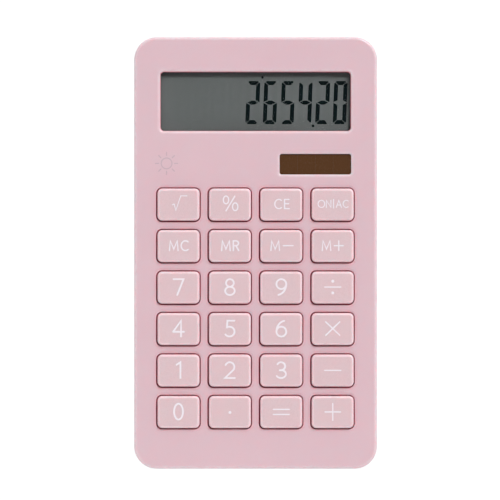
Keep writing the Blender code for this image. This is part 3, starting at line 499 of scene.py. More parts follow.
# %% [markdown]
# ## Bosses behind the front shell
# Behind the face stand four bosses for the case screws, four for the board screws, six pins that
# locate the mat and the board, four pegs for the display's clamp, and the rib round the display. They are
# moulded with the shell, but a ring of points cannot branch, so they are lofted on their own and reach
# just into the plate, where nothing shows the join.

# %% Loft the bosses, pins, pegs and rib
BOSS_DRAFT = 0.15 * MM
ROOT_FILLET = 0.5 * MM
OVERLAP = 0.1 * MM  # how far a piece that is lofted on its own reaches into the plate
CASE_BOSS_RADIUS = 2.4 * MM
BOARD_BOSS_RADIUS = 2.2 * MM
PILOT_RADIUS = 0.95 * MM
PIN_RADIUS = 1.1 * MM
PEG_RADIUS = 0.55 * MM
PEG_Y = 7.0 * MM


def turned_rings(mesh, profile, sides, centre=(0.0, 0.0)):
    return [add_ring(mesh, circle_outline(radius, sides), z, centre) for radius, z in profile]


def add_turned(mesh, centre, profile, sides=32):
    """A solid turned from (radius, height) points, with a flat face at both ends."""
    close_loft(mesh, turned_rings(mesh, profile, sides, centre))


def add_boss(mesh, centre, radius, low_z):
    """A post with a rounded root against the plate, and a blind hole for its screw."""
    wide = radius + BOSS_DRAFT
    root = fillet(ROOT_FILLET, ROOT_FILLET, 4)
    profile = [(PILOT_RADIUS, low_z), (radius, low_z), (wide, PLATE_Z - ROOT_FILLET)]
    profile += [(wide + inset, PLATE_Z - drop) for inset, drop in reversed(root)]
    profile += [(wide, PLATE_Z + OVERLAP), (PILOT_RADIUS, PLATE_Z + OVERLAP)]
    rings = turned_rings(mesh, profile, 28, centre)
    join_rings(mesh, [*rings, rings[0]])


def add_pin(mesh, centre, radius, low_z, tip):
    profile = [(radius - tip, low_z), (radius, low_z + tip)]
    profile += [(radius + BOSS_DRAFT, PLATE_Z - ROOT_FILLET), (radius + 2 * BOSS_DRAFT, PLATE_Z + OVERLAP)]
    add_turned(mesh, centre, profile, 20)


def centre_of(node):
    return plan_of(node)[0]


case_screws = [f"case_screw_{number}" for number in range(1, 5)]
board_screws = [f"board_screw_{number}" for number in range(1, 5)]
board_low, board_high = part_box("circuit_board")
columns = sorted({round(x, 5) for x, y in key_centres.values()})
rows = sorted({round(y, 5) for x, y in key_centres.values()}, reverse=True)
PITCH_X = columns[1] - columns[0]
pin_centres = [
    (side * PITCH_X, (rows[row] + rows[row + 1]) / 2) for side in (-1, 1) for row in (0, 2, 4)
]
clamp_low, clamp_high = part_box("display_clamp")
peg_x = clamp_high.x - 1.3 * MM
peg_centres = [(side * peg_x, WINDOW_CENTRE[1] + up * PEG_Y) for side in (-1, 1) for up in (-1, 1)]

posts = bmesh.new()
for screw in case_screws:
    add_boss(posts, centre_of(screw), CASE_BOSS_RADIUS, SEAM_Z + 0.4 * MM)
for screw in board_screws:
    add_boss(posts, centre_of(screw), BOARD_BOSS_RADIUS, board_high.z + 0.1 * MM)
for centre in pin_centres:
    add_pin(posts, centre, PIN_RADIUS, board_low.z + 0.1 * MM, 0.25 * MM)
for centre in peg_centres:
    add_pin(posts, centre, PEG_RADIUS, clamp_low.z - 0.35 * MM, 0.15 * MM)
inner_posts = finish_piece(as_object("front_shell_posts", posts), "case")
print(count_faces(inner_posts), "with", len(pin_centres), "pins")

# %% [markdown]
# ## Keycaps
# A key is a thin-walled cap on a flange. The flange is wider than the opening, so the key cannot fall
# out, and a plunger under the roof presses the rubber dome. All twenty-four caps come from one mould, so
# one mesh serves them all. The bright line round each cap is a narrow slope with softened ends, and it is
# modelled as such: a bevel modifier would round it into one even curve, which shines less. The finish also
# paints the slope lighter, as a highlight, and paints the walls below the face of the case darker, as shade.

# %% Loft one keycap about its own axis, with height 0 at the face of the case
cap_low, cap_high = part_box(key_nodes[0])
CAP_TOP = cap_high.z - CASE_TOP
CAP_FOOT = cap_low.z - CASE_TOP  # the end of the plunger
FLANGE_TOP = PLATE_Z - 0.3 * MM - CASE_TOP
FLANGE_THICKNESS = 0.8 * MM
CAP_WALL = 1.2 * MM
CAP_ROOF = 1.5 * MM
PLUNGER_RADIUS = 2.0 * MM
PLUNGER_TIP = 0.3 * MM
SLOPE_WIDTH = 0.50 * MM
SLOPE_DROP = 0.50 * MM
SLOPE_BLEND = 0.14 * MM
CAP_DRAFT = 0.18 * MM  # how far the walls lean out from the slope down to the face of the case
INNER_FLAT = 2.2 * MM  # two rings on the flat of the cap keep its wear and painted highlight at the slope
OUTER_FLAT = 0.35 * MM
FULL_DARK = 0.5 * MM  # how far below the face of the case the painted shade is full


def cap_levels():
    """(inset, height) from the flat of the cap, over its slope, to the roof inside."""
    top, edge = CAP_TOP, CAP_TOP - SLOPE_DROP
    flange_low = FLANGE_TOP - FLANGE_THICKNESS
    return [
        (SLOPE_WIDTH + INNER_FLAT, top),
        (SLOPE_WIDTH + OUTER_FLAT, top),
        (SLOPE_WIDTH + 1.3 * SLOPE_BLEND, top),
        (SLOPE_WIDTH + 0.4 * SLOPE_BLEND, top - 0.12 * SLOPE_BLEND),
        (SLOPE_WIDTH - 0.4 * SLOPE_BLEND, top - 0.7 * SLOPE_BLEND),
        (SLOPE_BLEND, edge + SLOPE_BLEND),
        (0.25 * SLOPE_BLEND, edge + 0.1 * SLOPE_BLEND),
        (0.0, edge - SLOPE_BLEND),
        (-CAP_DRAFT, 0.0),
        (-CAP_DRAFT - 0.02 * MM, FLANGE_TOP + 0.15 * MM),
        (-CAP_DRAFT - 0.15 * MM, FLANGE_TOP),
        (0.1 * MM - FLANGE_REACH, FLANGE_TOP),
        (-FLANGE_REACH, FLANGE_TOP - 0.1 * MM),
        (-FLANGE_REACH, flange_low),
        (CAP_WALL, flange_low),
        (CAP_WALL + 0.05 * MM, CAP_TOP - CAP_ROOF - 0.3 * MM),
        (CAP_WALL + 0.35 * MM, CAP_TOP - CAP_ROOF),
    ]


cap = shaded_mesh()
cap_rings = []
# Painted shade on the cap: none down to just below its slope, full at FULL_DARK below the face of the case.
dark_from = CAP_TOP - SLOPE_DROP - SLOPE_BLEND
for inset, height in cap_levels():
    outline = rounded_outline(KEY_SIZE[0] - 2 * inset, KEY_SIZE[1] - 2 * inset, KEY_CORNER - inset, 6)
    depth = min(1.0, max(0.0, (dark_from - height) / (dark_from + FULL_DARK)))
    cap_rings.append(add_ring(cap, outline, height, depth=depth))
close_loft(cap, cap_rings)
plunger = [(PLUNGER_RADIUS - PLUNGER_TIP, CAP_FOOT), (PLUNGER_RADIUS, CAP_FOOT + PLUNGER_TIP)]
plunger.append((PLUNGER_RADIUS, CAP_TOP - CAP_ROOF + 0.2 * MM))
add_turned(cap, (0.0, 0.0), plunger, 24)
cap_data = shared_mesh(as_object("blank_cap", cap))

for name, centre in key_centres.items():
    keycap = show(name.replace("key_", "keycap_"), cap_data, (*centre, CASE_TOP))
    weigh_normals(keycap)
    settle(keycap, name, [name])
print(len(key_centres), "keycaps of", len(cap_data.polygons), "faces each")

# %% [markdown]
# ## Legends
# The legends are pad-printed: a thin film of pale ink with even strokes and round ends. A text object
# could write them, but its letters would be those of a type foundry. So each sign here is drawn with
# plain strokes and arcs on a body one unit high, and each stroke becomes a flat ribbon of ink.


# %% Draw signs as strokes one unit high
def arc(x, y, radius_x, radius_y, start, end, steps=18):
    turns = [math.radians(start + (end - start) * step / steps) for step in range(steps + 1)]
    return [(x + radius_x * math.cos(turn), y + radius_y * math.sin(turn)) for turn in turns]


def oval(x, y, radius_x, radius_y):
    return arc(x, y, radius_x, radius_y, 0, 360, 32)


SIX = [oval(0.33, 0.31, 0.31, 0.31), arc(0.62, 0.31, 0.60, 0.69, 100, 178)]
SIGNS = {
    "0": [oval(0.29, 0.5, 0.28, 0.5)],
    "1": [[(0.06, 0.84), (0.30, 1.0), (0.30, 0.0)]],
    "2": [[*arc(0.32, 0.70, 0.29, 0.30, 155, -38), (0.02, 0.0), (0.64, 0.0)]],
    "3": [[*arc(0.28, 0.745, 0.26, 0.255, 150, -90), (0.20, 0.49)], arc(0.28, 0.25, 0.31, 0.25, 90, -150)],
    "4": [[(0.50, 0.0), (0.50, 1.0), (0.0, 0.30)], [(0.0, 0.30), (0.68, 0.30)]],
    "5": [[(0.58, 1.0), (0.14, 1.0), (0.11, 0.56)], arc(0.27, 0.31, 0.32, 0.31, 122, -145)],
    "6": SIX,
    "7": [[(0.0, 1.0), (0.64, 1.0), (0.24, 0.0)]],
    "8": [oval(0.32, 0.76, 0.245, 0.24), oval(0.32, 0.26, 0.30, 0.26)],
    "9": [[(0.66 - x, 1.0 - y) for x, y in stroke] for stroke in SIX],
    "A": [[(0.0, 0.0), (0.36, 1.0), (0.72, 0.0)], [(0.11, 0.34), (0.61, 0.34)]],
    "C": [arc(0.44, 0.5, 0.44, 0.5, 52, 308, 24)],
    "E": [[(0.48, 1.0), (0.0, 1.0), (0.0, 0.0), (0.50, 0.0)], [(0.0, 0.53), (0.44, 0.53)]],
    "M": [[(0.0, 0.0), (0.08, 1.0), (0.44, 0.14), (0.80, 1.0), (0.88, 0.0)]],
    "N": [[(0.0, 0.0), (0.0, 1.0), (0.64, 0.0), (0.64, 1.0)]],
    "O": [oval(0.46, 0.5, 0.46, 0.5)],
    "R": [
        [(0.0, 0.0), (0.0, 1.0), (0.24, 1.0), *arc(0.26, 0.75, 0.27, 0.25, 88, -88), (0.12, 0.5)],
        [(0.26, 0.5), (0.56, 0.0)],
    ],
    "bar": [[(0.0, -0.08), (0.0, 1.12)]],
    "minus": [[(0.0, 0.5), (1.0, 0.5)]],
    "plus": [[(0.0, 0.5), (0.92, 0.5)], [(0.46, 0.0), (0.46, 1.0)]],
    "times": [[(0.0, 0.0), (1.04, 1.0)], [(0.0, 1.0), (1.04, 0.0)]],
    "equals": [[(0.0, 0.34), (1.0, 0.34)], [(0.0, 0.66), (1.0, 0.66)]],
    "divide": [[(0.0, 0.5), (1.0, 0.5)]],
    "root": [[(0.0, 0.38), (0.12, 0.44)], [(0.12, 0.44), (0.24, 0.0), (0.58, 1.0), (1.0, 1.0)]],
    "percent": [oval(0.20, 0.74, 0.18, 0.26), oval(0.82, 0.28, 0.18, 0.26), [(0.20, 0.0), (0.80, 1.0)]],
}


def stroke_outline(path, width):
    """The edge of a stroke of even width with round ends, and its inner edge if the stroke closes."""
    points = [Vector(point) for point in path]
    closed = (points[0] - points[-1]).length < 1e-6
    if closed:
        points.pop()
    sides = []
    for index, point in enumerate(points):
        last = len(points) - 1
        before = points[index - 1] if index or closed else point
        after = points[(index + 1) % len(points)] if index < last or closed else point
        arrive, leave = (point - before).normalized(), (after - point).normalized()
        along = (arrive + leave).normalized() if (arrive + leave).length > 1e-6 else arrive
        across = Vector((-along.y, along.x))
        bend = max(0.45, abs(across.dot(Vector((-leave.y, leave.x)) if leave.length else across)))
        sides.append((point, across * (width / 2 / bend)))
    left = [point + reach for point, reach in sides]
    right = [point - reach for point, reach in reversed(sides)]
    if closed:
        return [left, right]

    def round_end(middle, reach):
        turns = [math.radians(180.0 * step / 6) for step in range(1, 6)]
        spun = [Matrix.Rotation(-turn, 2) @ reach for turn in turns]
        return [middle + side for side in spun]

    first, last = sides[0], sides[-1]
    return [[*left, *round_end(last[0], last[1]), *right, *round_end(first[0], -first[1])]]


def add_ink(mesh, loops, low, high, centre=(0.0, 0.0)):
    """A flat film with upright edges, between an outline and the outlines of its holes."""
    under = [add_ring(mesh, loop, low, centre) for loop in loops]
    over = [add_ring(mesh, loop, high, centre) for loop in loops]
    for lower, upper in zip(under, over):
        join_rings(mesh, [lower, upper])
    fill_between(mesh, under)
    fill_between(mesh, over)


print(len(SIGNS), "signs drawn")

# %% [markdown]
# ## Print the keys
# Each key has one to five signs in a row. A row could be laid out by a text object, but here the widths
# of the strokes themselves set the spacing: signs stand side by side with a fixed gap, and the whole row
# is then centred on its cap.

# %% Lay out and print each legend
INK_FILM = 0.03 * MM
INK_STEP = 0.002 * MM  # each stroke lies this much over the one before, so that no two films coincide
DIGIT = (5.85 * MM, 0.66 * MM, 0.0)  # height of the strokes' centre lines, stroke width, gap
LETTER = (3.6 * MM, 0.52 * MM, 1.15 * MM)
SMALL_LETTER = (2.65 * MM, 0.36 * MM, 0.62 * MM)
SIGN = (6.0 * MM, 0.48 * MM, 0.0)
DOT_RADIUS = 0.55 * MM
DIVIDE_DOT_Y = 2.17 * MM

LEGENDS = {
    "key_root": (["root"], (5.35 * MM, 0.34 * MM, 0.0), (0.4 * MM, 0.55 * MM)),
    "key_percent": (["percent"], (5.5 * MM, 0.46 * MM, 0.0), (0.25 * MM, 0.4 * MM)),
    "key_clear_entry": (["C", "E"], (3.4 * MM, 0.46 * MM, 1.2 * MM), (0.25 * MM, 0.2 * MM)),
    "key_on_all_clear": (["O", "N", "bar", "A", "C"], SMALL_LETTER, (0.15 * MM, 0.25 * MM)),
    "key_memory_clear": (["M", "C"], LETTER, (0.1 * MM, 0.15 * MM)),
    "key_memory_recall": (["M", "R"], LETTER, (0.1 * MM, 0.15 * MM)),
    "key_memory_minus": (["M", "minus"], (3.6 * MM, 0.46 * MM, 1.45 * MM), (0.25 * MM, 0.15 * MM)),
    "key_memory_plus": (["M", "plus"], (3.6 * MM, 0.46 * MM, 1.3 * MM), (0.0, 0.15 * MM)),
    "key_divide": (["divide"], SIGN, (0.0, 0.2 * MM)),
    "key_multiply": (["times"], (5.0 * MM, 0.52 * MM, 0.0), (0.0, 0.2 * MM)),
    "key_minus": (["minus"], SIGN, (0.0, 0.1 * MM)),
    "key_plus": (["plus"], (6.2 * MM, 0.50 * MM, 0.0), (0.0, 0.1 * MM)),
    "key_equals": (["equals"], (5.85 * MM, 0.50 * MM, 0.0), (0.0, 0.1 * MM)),
    "key_point": ([], SIGN, (0.0, -0.1 * MM)),
}
for number in range(10):
    LEGENDS[f"key_{number}"] = ([str(number)], DIGIT, (0.0, 0.2 * MM))
BAR_ROOM = 0.14  # extra room on each side of the bar, as a share of its height
DOTS = {"key_point": [0.0], "key_divide": [DIVIDE_DOT_Y, -DIVIDE_DOT_Y]}


def laid_out(signs, height, gap):
    """The strokes of a row of signs at their real size, centred on the origin."""
    row, pen = [], 0.0
    for sign in signs:
        room = BAR_ROOM * height if sign == "bar" else 0.0
        strokes = [[Vector(point) * height for point in stroke] for stroke in SIGNS[sign]]
        start = min(point.x for stroke in strokes for point in stroke) - room
        row += [[point + Vector((pen - start, -height / 2)) for point in stroke] for stroke in strokes]
        pen = max(point.x for stroke in row for point in stroke) + gap + room
    middle = (pen - gap) / 2
    return [[point - Vector((middle, 0.0)) for point in stroke] for stroke in row]


legends = []
for name, (signs, (height, width, gap), shift) in LEGENDS.items():
    print_mesh = bmesh.new()
    level = CAP_TOP + INK_FILM
    for stroke in laid_out(signs, height, gap):
        loops = stroke_outline([tuple(point + Vector(shift)) for point in stroke], width)
        add_ink(print_mesh, loops, CAP_TOP - INK_FILM, level)
        level += INK_STEP
    for dot_y in DOTS.get(name, []):
        dot = circle_outline(DOT_RADIUS, 28)
        add_ink(print_mesh, [dot], CAP_TOP - INK_FILM, level, (shift[0], shift[1] + dot_y))
    legend = as_object(name.replace("key_", "legend_"), print_mesh)
    legend.location = (*key_centres[name], CASE_TOP)
    legends.append(settle(legend, name))
print(len(legends), "legends printed")

# %% [markdown]
# ## Display face
# A liquid-crystal display looks like one grey sheet with dark digits lying just over it. The sheet is
# the front polariser, a film on the front glass. Texture could draw the digits, but they would be
# blurred, so each bar is its own thin prism. The bars that are off stay faintly visible, as on a real one.

# %% Cut the polariser and lay the digits on it
face_low, face_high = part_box("lcd_front_polariser")
DIGIT_PITCH = 6.49 * MM
LAST_DIGIT_X = 31.4 * MM
DIGIT_Y = WINDOW_CENTRE[1] - 0.35 * MM
DIGIT_WIDTH = 5.0 * MM
DIGIT_HEIGHT = 16.0 * MM
BAR = 1.5 * MM
MITRE_GAP = 0.09 * MM
CORNER_CUT = 0.9 * MM
POINT_INSET = 0.42 * MM
LEAN = math.tan(math.radians(2.2))
BAR_LOW = 0.01 * MM
BAR_HIGH = 0.03 * MM

polariser = bmesh.new()
face_centre, face_size = plan_of("lcd_front_polariser")
face_outline = rounded_outline(*face_size, 0.3 * MM, 3)
close_loft(polariser, [add_ring(polariser, face_outline, z, face_centre) for z in (face_low.z, face_high.z)])
display_face = as_object("display_face", polariser)
finish_piece(display_face, "case", ["lcd_front_polariser"])


def digit_bars():
    """The seven bars of a digit about its centre: a to f clockwise from the top, and g in the middle."""
    width, height, half = DIGIT_WIDTH, DIGIT_HEIGHT, DIGIT_HEIGHT / 2
    cut, gap = CORNER_CUT, MITRE_GAP
    top = [(cut, height), (width - cut, height), (width - cut / 2 - gap, height - cut / 2 + gap)]
    top += [(width - BAR - gap, height - BAR), (BAR + gap, height - BAR)]
    top += [(cut / 2 + gap, height - cut / 2 + gap)]
    left = [(0.0, height - cut), (cut / 2 - gap, height - cut / 2 - gap), (BAR, height - BAR - gap)]
    left += [(BAR, half + BAR / 2 + 1.4 * gap), (0.0, half + 1.4 * gap)]
    middle = [(POINT_INSET, half), (POINT_INSET + BAR, half + BAR / 2)]
    middle += [(width - x, y) for x, y in reversed(middle)]
    middle += [(x, height - y) for x, y in reversed(middle[1:3])]

    def mirrored(bar, across, up):
        return [(width - x if across else x, height - y if up else y) for x, y in bar]

    bars = {
        "a": top,
        "b": mirrored(left, True, False),
        "c": mirrored(left, True, True),
        "d": mirrored(top, False, True),
        "e": mirrored(left, False, True),
        "f": left,
        "g": middle,
    }
    return {
        letter: [Vector((x - width / 2 + (y - half) * LEAN, y - half)) for x, y in bar]
        for letter, bar in bars.items()
    }


LIT = {"2": "abged", "6": "acdefg", "5": "afgcd", "4": "fgbc", "0": "abcdef", " ": ""}
SHOWN = "    265420"
MARKS = ((9.35 * MM, 0.46 * MM, 4), (-8.65 * MM, 0.52 * MM, 7))  # height, radius, and the place that is lit
BARS = digit_bars()
lit_bars, idle_bars = bmesh.new(), bmesh.new()


def add_bar(lit, outline, centre):
    target = lit_bars if lit else idle_bars
    add_ink(target, [outline], face_high.z + BAR_LOW, face_high.z + BAR_HIGH, centre)


digit_centres = [LAST_DIGIT_X - (len(SHOWN) - 1 - place) * DIGIT_PITCH for place in range(len(SHOWN))]
for digit_x, sign in zip(digit_centres, SHOWN):
    for letter, bar in BARS.items():
        add_bar(letter in LIT[sign], bar, (digit_x, DIGIT_Y))
window_end = WINDOW_CENTRE[0] + WINDOW_SIZE[0] / 2
for place, digit_x in enumerate(digit_centres):
    for up, radius, lit_place in MARKS:
        mark_x = digit_x + DIGIT_PITCH / 2 + up * LEAN
        if mark_x < window_end - 2 * radius:
            add_bar(place == lit_place, circle_outline(radius, 24), (mark_x, DIGIT_Y + up))
display_digits = settle(as_object("display_digits", lit_bars), "case")
display_idle = settle(as_object("display_idle_bars", idle_bars), "case")
print(count_faces(display_digits), "showing", SHOWN.strip())

# %% [markdown]
# ## Display window
# The window is a clear acrylic sheet glued behind the face, so it lies almost two millimetres down in
# its opening. A cube would do from the front, but light catches the polished edges of a real sheet, so
# it is lofted with a small chamfer all round.


# %% Loft the clear window
def add_sheet(mesh, centre, size, corner, low, high, edge, steps=5):
    """A flat plate with round corners in plan and a chamfer along both rims."""
    rings = []
    for inset, height in ((edge, low), (0.0, low + edge), (0.0, high - edge), (edge, high)):
        outline = rounded_outline(size[0] - 2 * inset, size[1] - 2 * inset, corner - inset, steps)
        rings.append(add_ring(mesh, outline, height, centre))
    close_loft(mesh, rings)


def sheet_for(node, name, corner, edge):
    mesh = bmesh.new()
    low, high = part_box(node)
    centre, size = plan_of(node)
    add_sheet(mesh, centre, size, corner, low.z, high.z, edge)
    return finish_piece(as_object(name, mesh), "case", [node])


window_pane = sheet_for("display_window", "window_pane", 1.0 * MM, 0.12 * MM)
print(count_faces(window_pane))

# %% [markdown]
# ## Solar cell
# The cell is a sheet of glass with brown amorphous silicon on its back, split into four strips in series
# by scribed lines, with a silver contact at each end. Only the glass and the brown film show, so the
# piece is a glass plate over a film, with the scribed lines as thin bars in it.

# %% Build the solar cell
solar_panel = sheet_for("solar_cell", "solar_panel", 0.3 * MM, 0.1 * MM)
SOLAR_STRIPS = 4
SCRIBE = 0.09 * MM
FILM_STEP = 0.01 * MM
scribes = bmesh.new()
strip_width = SOLAR_SIZE[0] / SOLAR_STRIPS
for line in range(1, SOLAR_STRIPS):
    x = SOLAR_CENTRE[0] - SOLAR_SIZE[0] / 2 + line * strip_width
    outline = rounded_outline(SCRIBE, SOLAR_SIZE[1], SCRIBE / 4, 2)
    add_ink(scribes, [outline], solar_high.z - FILM_STEP, solar_high.z + FILM_STEP, (x, SOLAR_CENTRE[1]))
solar_scribes = settle(as_object("solar_scribes", scribes), "case")
print(SOLAR_STRIPS, "strips of", round(strip_width / MM, 1), "mm")

# %% [markdown]
# ## Printed sun
# A small mark is printed low on the left of the display. It stands for solar power: a ring with eight
# rays, in an ink only a little darker than the case. It is drawn with the same strokes as the legends.

# %% Print the sun
SUN_CENTRE = (-33.0 * MM, 33.2 * MM)
SUN_RADIUS = 2.0 * MM
RAY = (2.95 * MM, 4.1 * MM)
SUN_STROKE = 0.42 * MM
RAYS = 8
sun = bmesh.new()
sun_strokes = [oval(0.0, 0.0, SUN_RADIUS, SUN_RADIUS)]
for ray in range(RAYS):
    along = Vector((math.cos(2 * math.pi * ray / RAYS), math.sin(2 * math.pi * ray / RAYS)))
    sun_strokes.append([tuple(along * reach) for reach in RAY])
for stroke in sun_strokes:
    loops = stroke_outline(stroke, SUN_STROKE)
    add_ink(sun, loops, CASE_TOP - INK_FILM, CASE_TOP + INK_FILM / 2, SUN_CENTRE)
sun_print = settle(as_object("sun_print", sun), "case")
print(count_faces(sun_print))

# %% [markdown]
# ## Back shell
# The back shell is a shallow tray with a rounded lower edge and a lip that the front shell slides over.
# It could start as a bevelled cube, but the loft that made the front shell gives the same outline, so the
# two halves meet exactly. It runs up the outside, over the lip, and down the inside to the floor.

# %% Loft the tray
BASE_EDGE = 2.4 * MM
FLOOR_FILLET = 0.6 * MM
LIP_INSET = 1.1 * MM
LIP_BREAK = 0.12 * MM
BASE_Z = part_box("lower_case")[0].z
FLOOR_Z = BASE_Z + WALL
lip_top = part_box("lower_case")[1].z
seat_z = SEAM_Z - SEAM_HALF_GAP


def base_levels():
    """(inset, height) from the flat of the base round its edge to the wall."""
    return [(inset, BASE_Z + rise) for inset, rise in fillet(BASE_EDGE, BASE_EDGE, 10)]


tray = bmesh.new()
tray_levels = base_levels() + [(0.0, seat_z - RIM_BREAK), (RIM_BREAK, seat_z), (LIP_INSET, seat_z)]
tray_levels += [(LIP_INSET, lip_top - LIP_BREAK), (LIP_INSET + LIP_BREAK, lip_top)]
tray_levels += [(WALL - LIP_BREAK, lip_top), (WALL, lip_top - LIP_BREAK)]
floor_fillet = fillet(FLOOR_FILLET, FLOOR_FILLET, 4)
tray_levels += [(WALL + inset, FLOOR_Z + rise) for inset, rise in reversed(floor_fillet)]
close_loft(tray, loft_case(tray, tray_levels))
back_shell = as_object("back_shell", tray)
print(count_faces(back_shell))

# %% [markdown]
# ## Posts, tub and recesses of the back shell
# Four posts take the case screws, a tub holds the button cell, three low ribs stiffen the floor, and
# recesses in the base take the feet, the screw heads and the battery cover. They branch off the tray in
# many places, where a loft would be clumsy, so Booleans join and cut them. Each round cutter flares at its
# mouth, which leaves the small chamfer that a moulded hole has.

# %% Join and cut the back shell
MOUTH_CHAMFER = 0.2 * MM
CUT_PAST = 0.5 * MM  # how far a cutter starts outside what it cuts
CLEAR = 0.01 * MM  # keeps two faces of a Boolean from lying in one plane
POST_RADIUS = 3.2 * MM
POST_FOOT = 0.3 * MM
HEAD_SEAT_Z = 4.2 * MM
SCREW_HOLE = 1.25 * MM
HEAD_HOLE = 2.2 * MM
FOOT_RECESS = (4.1 * MM, BASE_Z + 0.7 * MM)  # radius, and height of its roof
feet_nodes = [f"rubber_foot_{number}" for number in range(1, 5)]
cell_low, cell_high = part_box("button_cell")
CELL_CENTRE = centre_of("button_cell")
CELL_RADIUS = (cell_high.x - cell_low.x) / 2
CELL_WELL = (CELL_RADIUS + 0.3 * MM, 6.2 * MM)
TUB_HALF_WIDTH = 12.8 * MM
TUB_LOW_Y = 57.2 * MM
RIB_ROWS = (-46.0 * MM, -16.0 * MM, 14.0 * MM)
RIB_SIZE = (CASE_WIDTH / 2 - WALL - 4.0 * MM, 1.0 * MM, 0.5 * MM)  # half length, thickness, height


def carve(piece, operation, cutter):
    """Joins a bmesh to a piece, or cuts the piece with it, for good."""
    other = as_object("cutter", cutter)
    modifier = piece.modifiers.new("carve", "BOOLEAN")
    modifier.operation = operation
    modifier.object = other
    bpy.context.view_layer.update()
    evaluated = piece.evaluated_get(bpy.context.evaluated_depsgraph_get())
    carved = bpy.data.meshes.new_from_object(evaluated)
    piece.modifiers.clear()
    piece.data = carved
    bpy.data.objects.remove(other)


def add_block(mesh, low, high, corner=0.3 * MM, edge=0.01 * MM):
    """A block between two corner points, with its upright edges rounded."""
    centre = ((low[0] + high[0]) / 2, (low[1] + high[1]) / 2)
    add_sheet(mesh, centre, (high[0] - low[0], high[1] - low[1]), corner, low[2], high[2], edge)


def add_drill(mesh, centre, radius, top):
    """A flared cutter that leaves a chamfered hole in the base, up to a height."""
    flare = radius + MOUTH_CHAMFER + CUT_PAST
    profile = [(flare, BASE_Z - CUT_PAST), (radius, BASE_Z + MOUTH_CHAMFER), (radius, top)]
    add_turned(mesh, centre, profile, 56)


solids, drills, through = bmesh.new(), bmesh.new(), bmesh.new()
root_z = FLOOR_Z - CUT_PAST
post = [(POST_RADIUS + POST_FOOT, root_z), (POST_RADIUS + POST_FOOT, FLOOR_Z)]
post += [(POST_RADIUS, FLOOR_Z + POST_FOOT), (POST_RADIUS, SEAM_Z + 0.1 * MM)]
for screw in case_screws:
    centre = centre_of(screw)
    add_turned(solids, centre, post, 40)
    add_drill(drills, centre, HEAD_HOLE, HEAD_SEAT_Z)
    add_turned(through, centre, [(SCREW_HOLE, BASE_Z), (SCREW_HOLE, CASE_TOP)], 28)
for foot in feet_nodes:
    add_drill(drills, centre_of(foot), *FOOT_RECESS)
tub_low = (CELL_CENTRE[0] - TUB_HALF_WIDTH, TUB_LOW_Y, root_z)
tub_high = (CELL_CENTRE[0] + TUB_HALF_WIDTH, CASE_LENGTH / 2 - WALL + 0.4 * MM, lip_top - CLEAR)
add_block(solids, tub_low, tub_high, 0.8 * MM, 0.15 * MM)
for rib_y in RIB_ROWS:
    rib_high = (RIB_SIZE[0], rib_y + RIB_SIZE[1], FLOOR_Z + RIB_SIZE[2])
    add_block(solids, (-RIB_SIZE[0], rib_y, root_z), rib_high, 0.4 * MM, 0.15 * MM)
carve(back_shell, "UNION", solids)
carve(back_shell, "DIFFERENCE", through)
carve(back_shell, "DIFFERENCE", drills)
print(count_faces(back_shell))

# %% [markdown]
# ## Battery bay
# The battery cover slides in a slot that is open at the far end of the case, with a groove along each
# side for its tongues. Above the slot a round well holds the cell, and two narrow slots let the contact
# leaves out of the tub. The sizes follow from the cover and the cell, with room to slide.

# %% Cut the battery bay
SLIDE_GAP = 0.2 * MM
TONGUE_REACH = 0.7 * MM
TONGUE_HALF = 0.3 * MM
TONGUE_Z = BASE_Z + 0.9 * MM
cover_low, cover_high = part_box("battery_cover")
COVER_HALF = (cover_high.x - cover_low.x) / 2 - TONGUE_REACH
COVER_X = (cover_high.x + cover_low.x) / 2
COVER_TOP = BASE_Z + 1.4 * MM
PAST_END = CASE_LENGTH / 2 + 2 * CUT_PAST
LEAF_ROOM = 0.5 * MM
slot, groove, well = bmesh.new(), bmesh.new(), bmesh.new()
slot_low = (COVER_X - COVER_HALF - SLIDE_GAP, cover_low.y - SLIDE_GAP, 0.0)
add_block(slot, slot_low, (COVER_X + COVER_HALF + SLIDE_GAP, PAST_END, COVER_TOP + SLIDE_GAP), 0.5 * MM)
groove_half = COVER_HALF + TONGUE_REACH + SLIDE_GAP
groove_low = (COVER_X - groove_half, cover_low.y - SLIDE_GAP, TONGUE_Z - TONGUE_HALF - SLIDE_GAP)
groove_high = (COVER_X + groove_half, PAST_END, TONGUE_Z + TONGUE_HALF + SLIDE_GAP)
add_block(groove, groove_low, groove_high, 0.2 * MM)
add_turned(well, CELL_CENTRE, [(CELL_WELL[0], 0.0), CELL_WELL], 72)
for cutter in (slot, groove, well):
    carve(back_shell, "DIFFERENCE", cutter)
for node in ("minus_contact", "plus_contact"):
    leaf_low, leaf_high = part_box(node)
    leaf_slot = bmesh.new()
    roof = min(leaf_high.z + LEAF_ROOM, CELL_WELL[1] - CLEAR)
    low = (leaf_low.x - LEAF_ROOM, TUB_LOW_Y - CUT_PAST, leaf_low.z - LEAF_ROOM)
    add_block(leaf_slot, low, (leaf_high.x + LEAF_ROOM, leaf_high.y + LEAF_ROOM, roof), 0.1 * MM)
    carve(back_shell, "DIFFERENCE", leaf_slot)
finish_piece(back_shell, "case", ["lower_case"])
print(count_faces(back_shell), "and a cover", round(2 * COVER_HALF / MM, 1), "mm wide")

# %% [markdown]
# ## Battery cover
# The cover closes the bay flush with the base, so it takes the tray's own rounded edge at its far end. It
# is cut from that shape by one Boolean, then it gets a tongue along each side and four shallow grooves
# that give the thumb a grip.

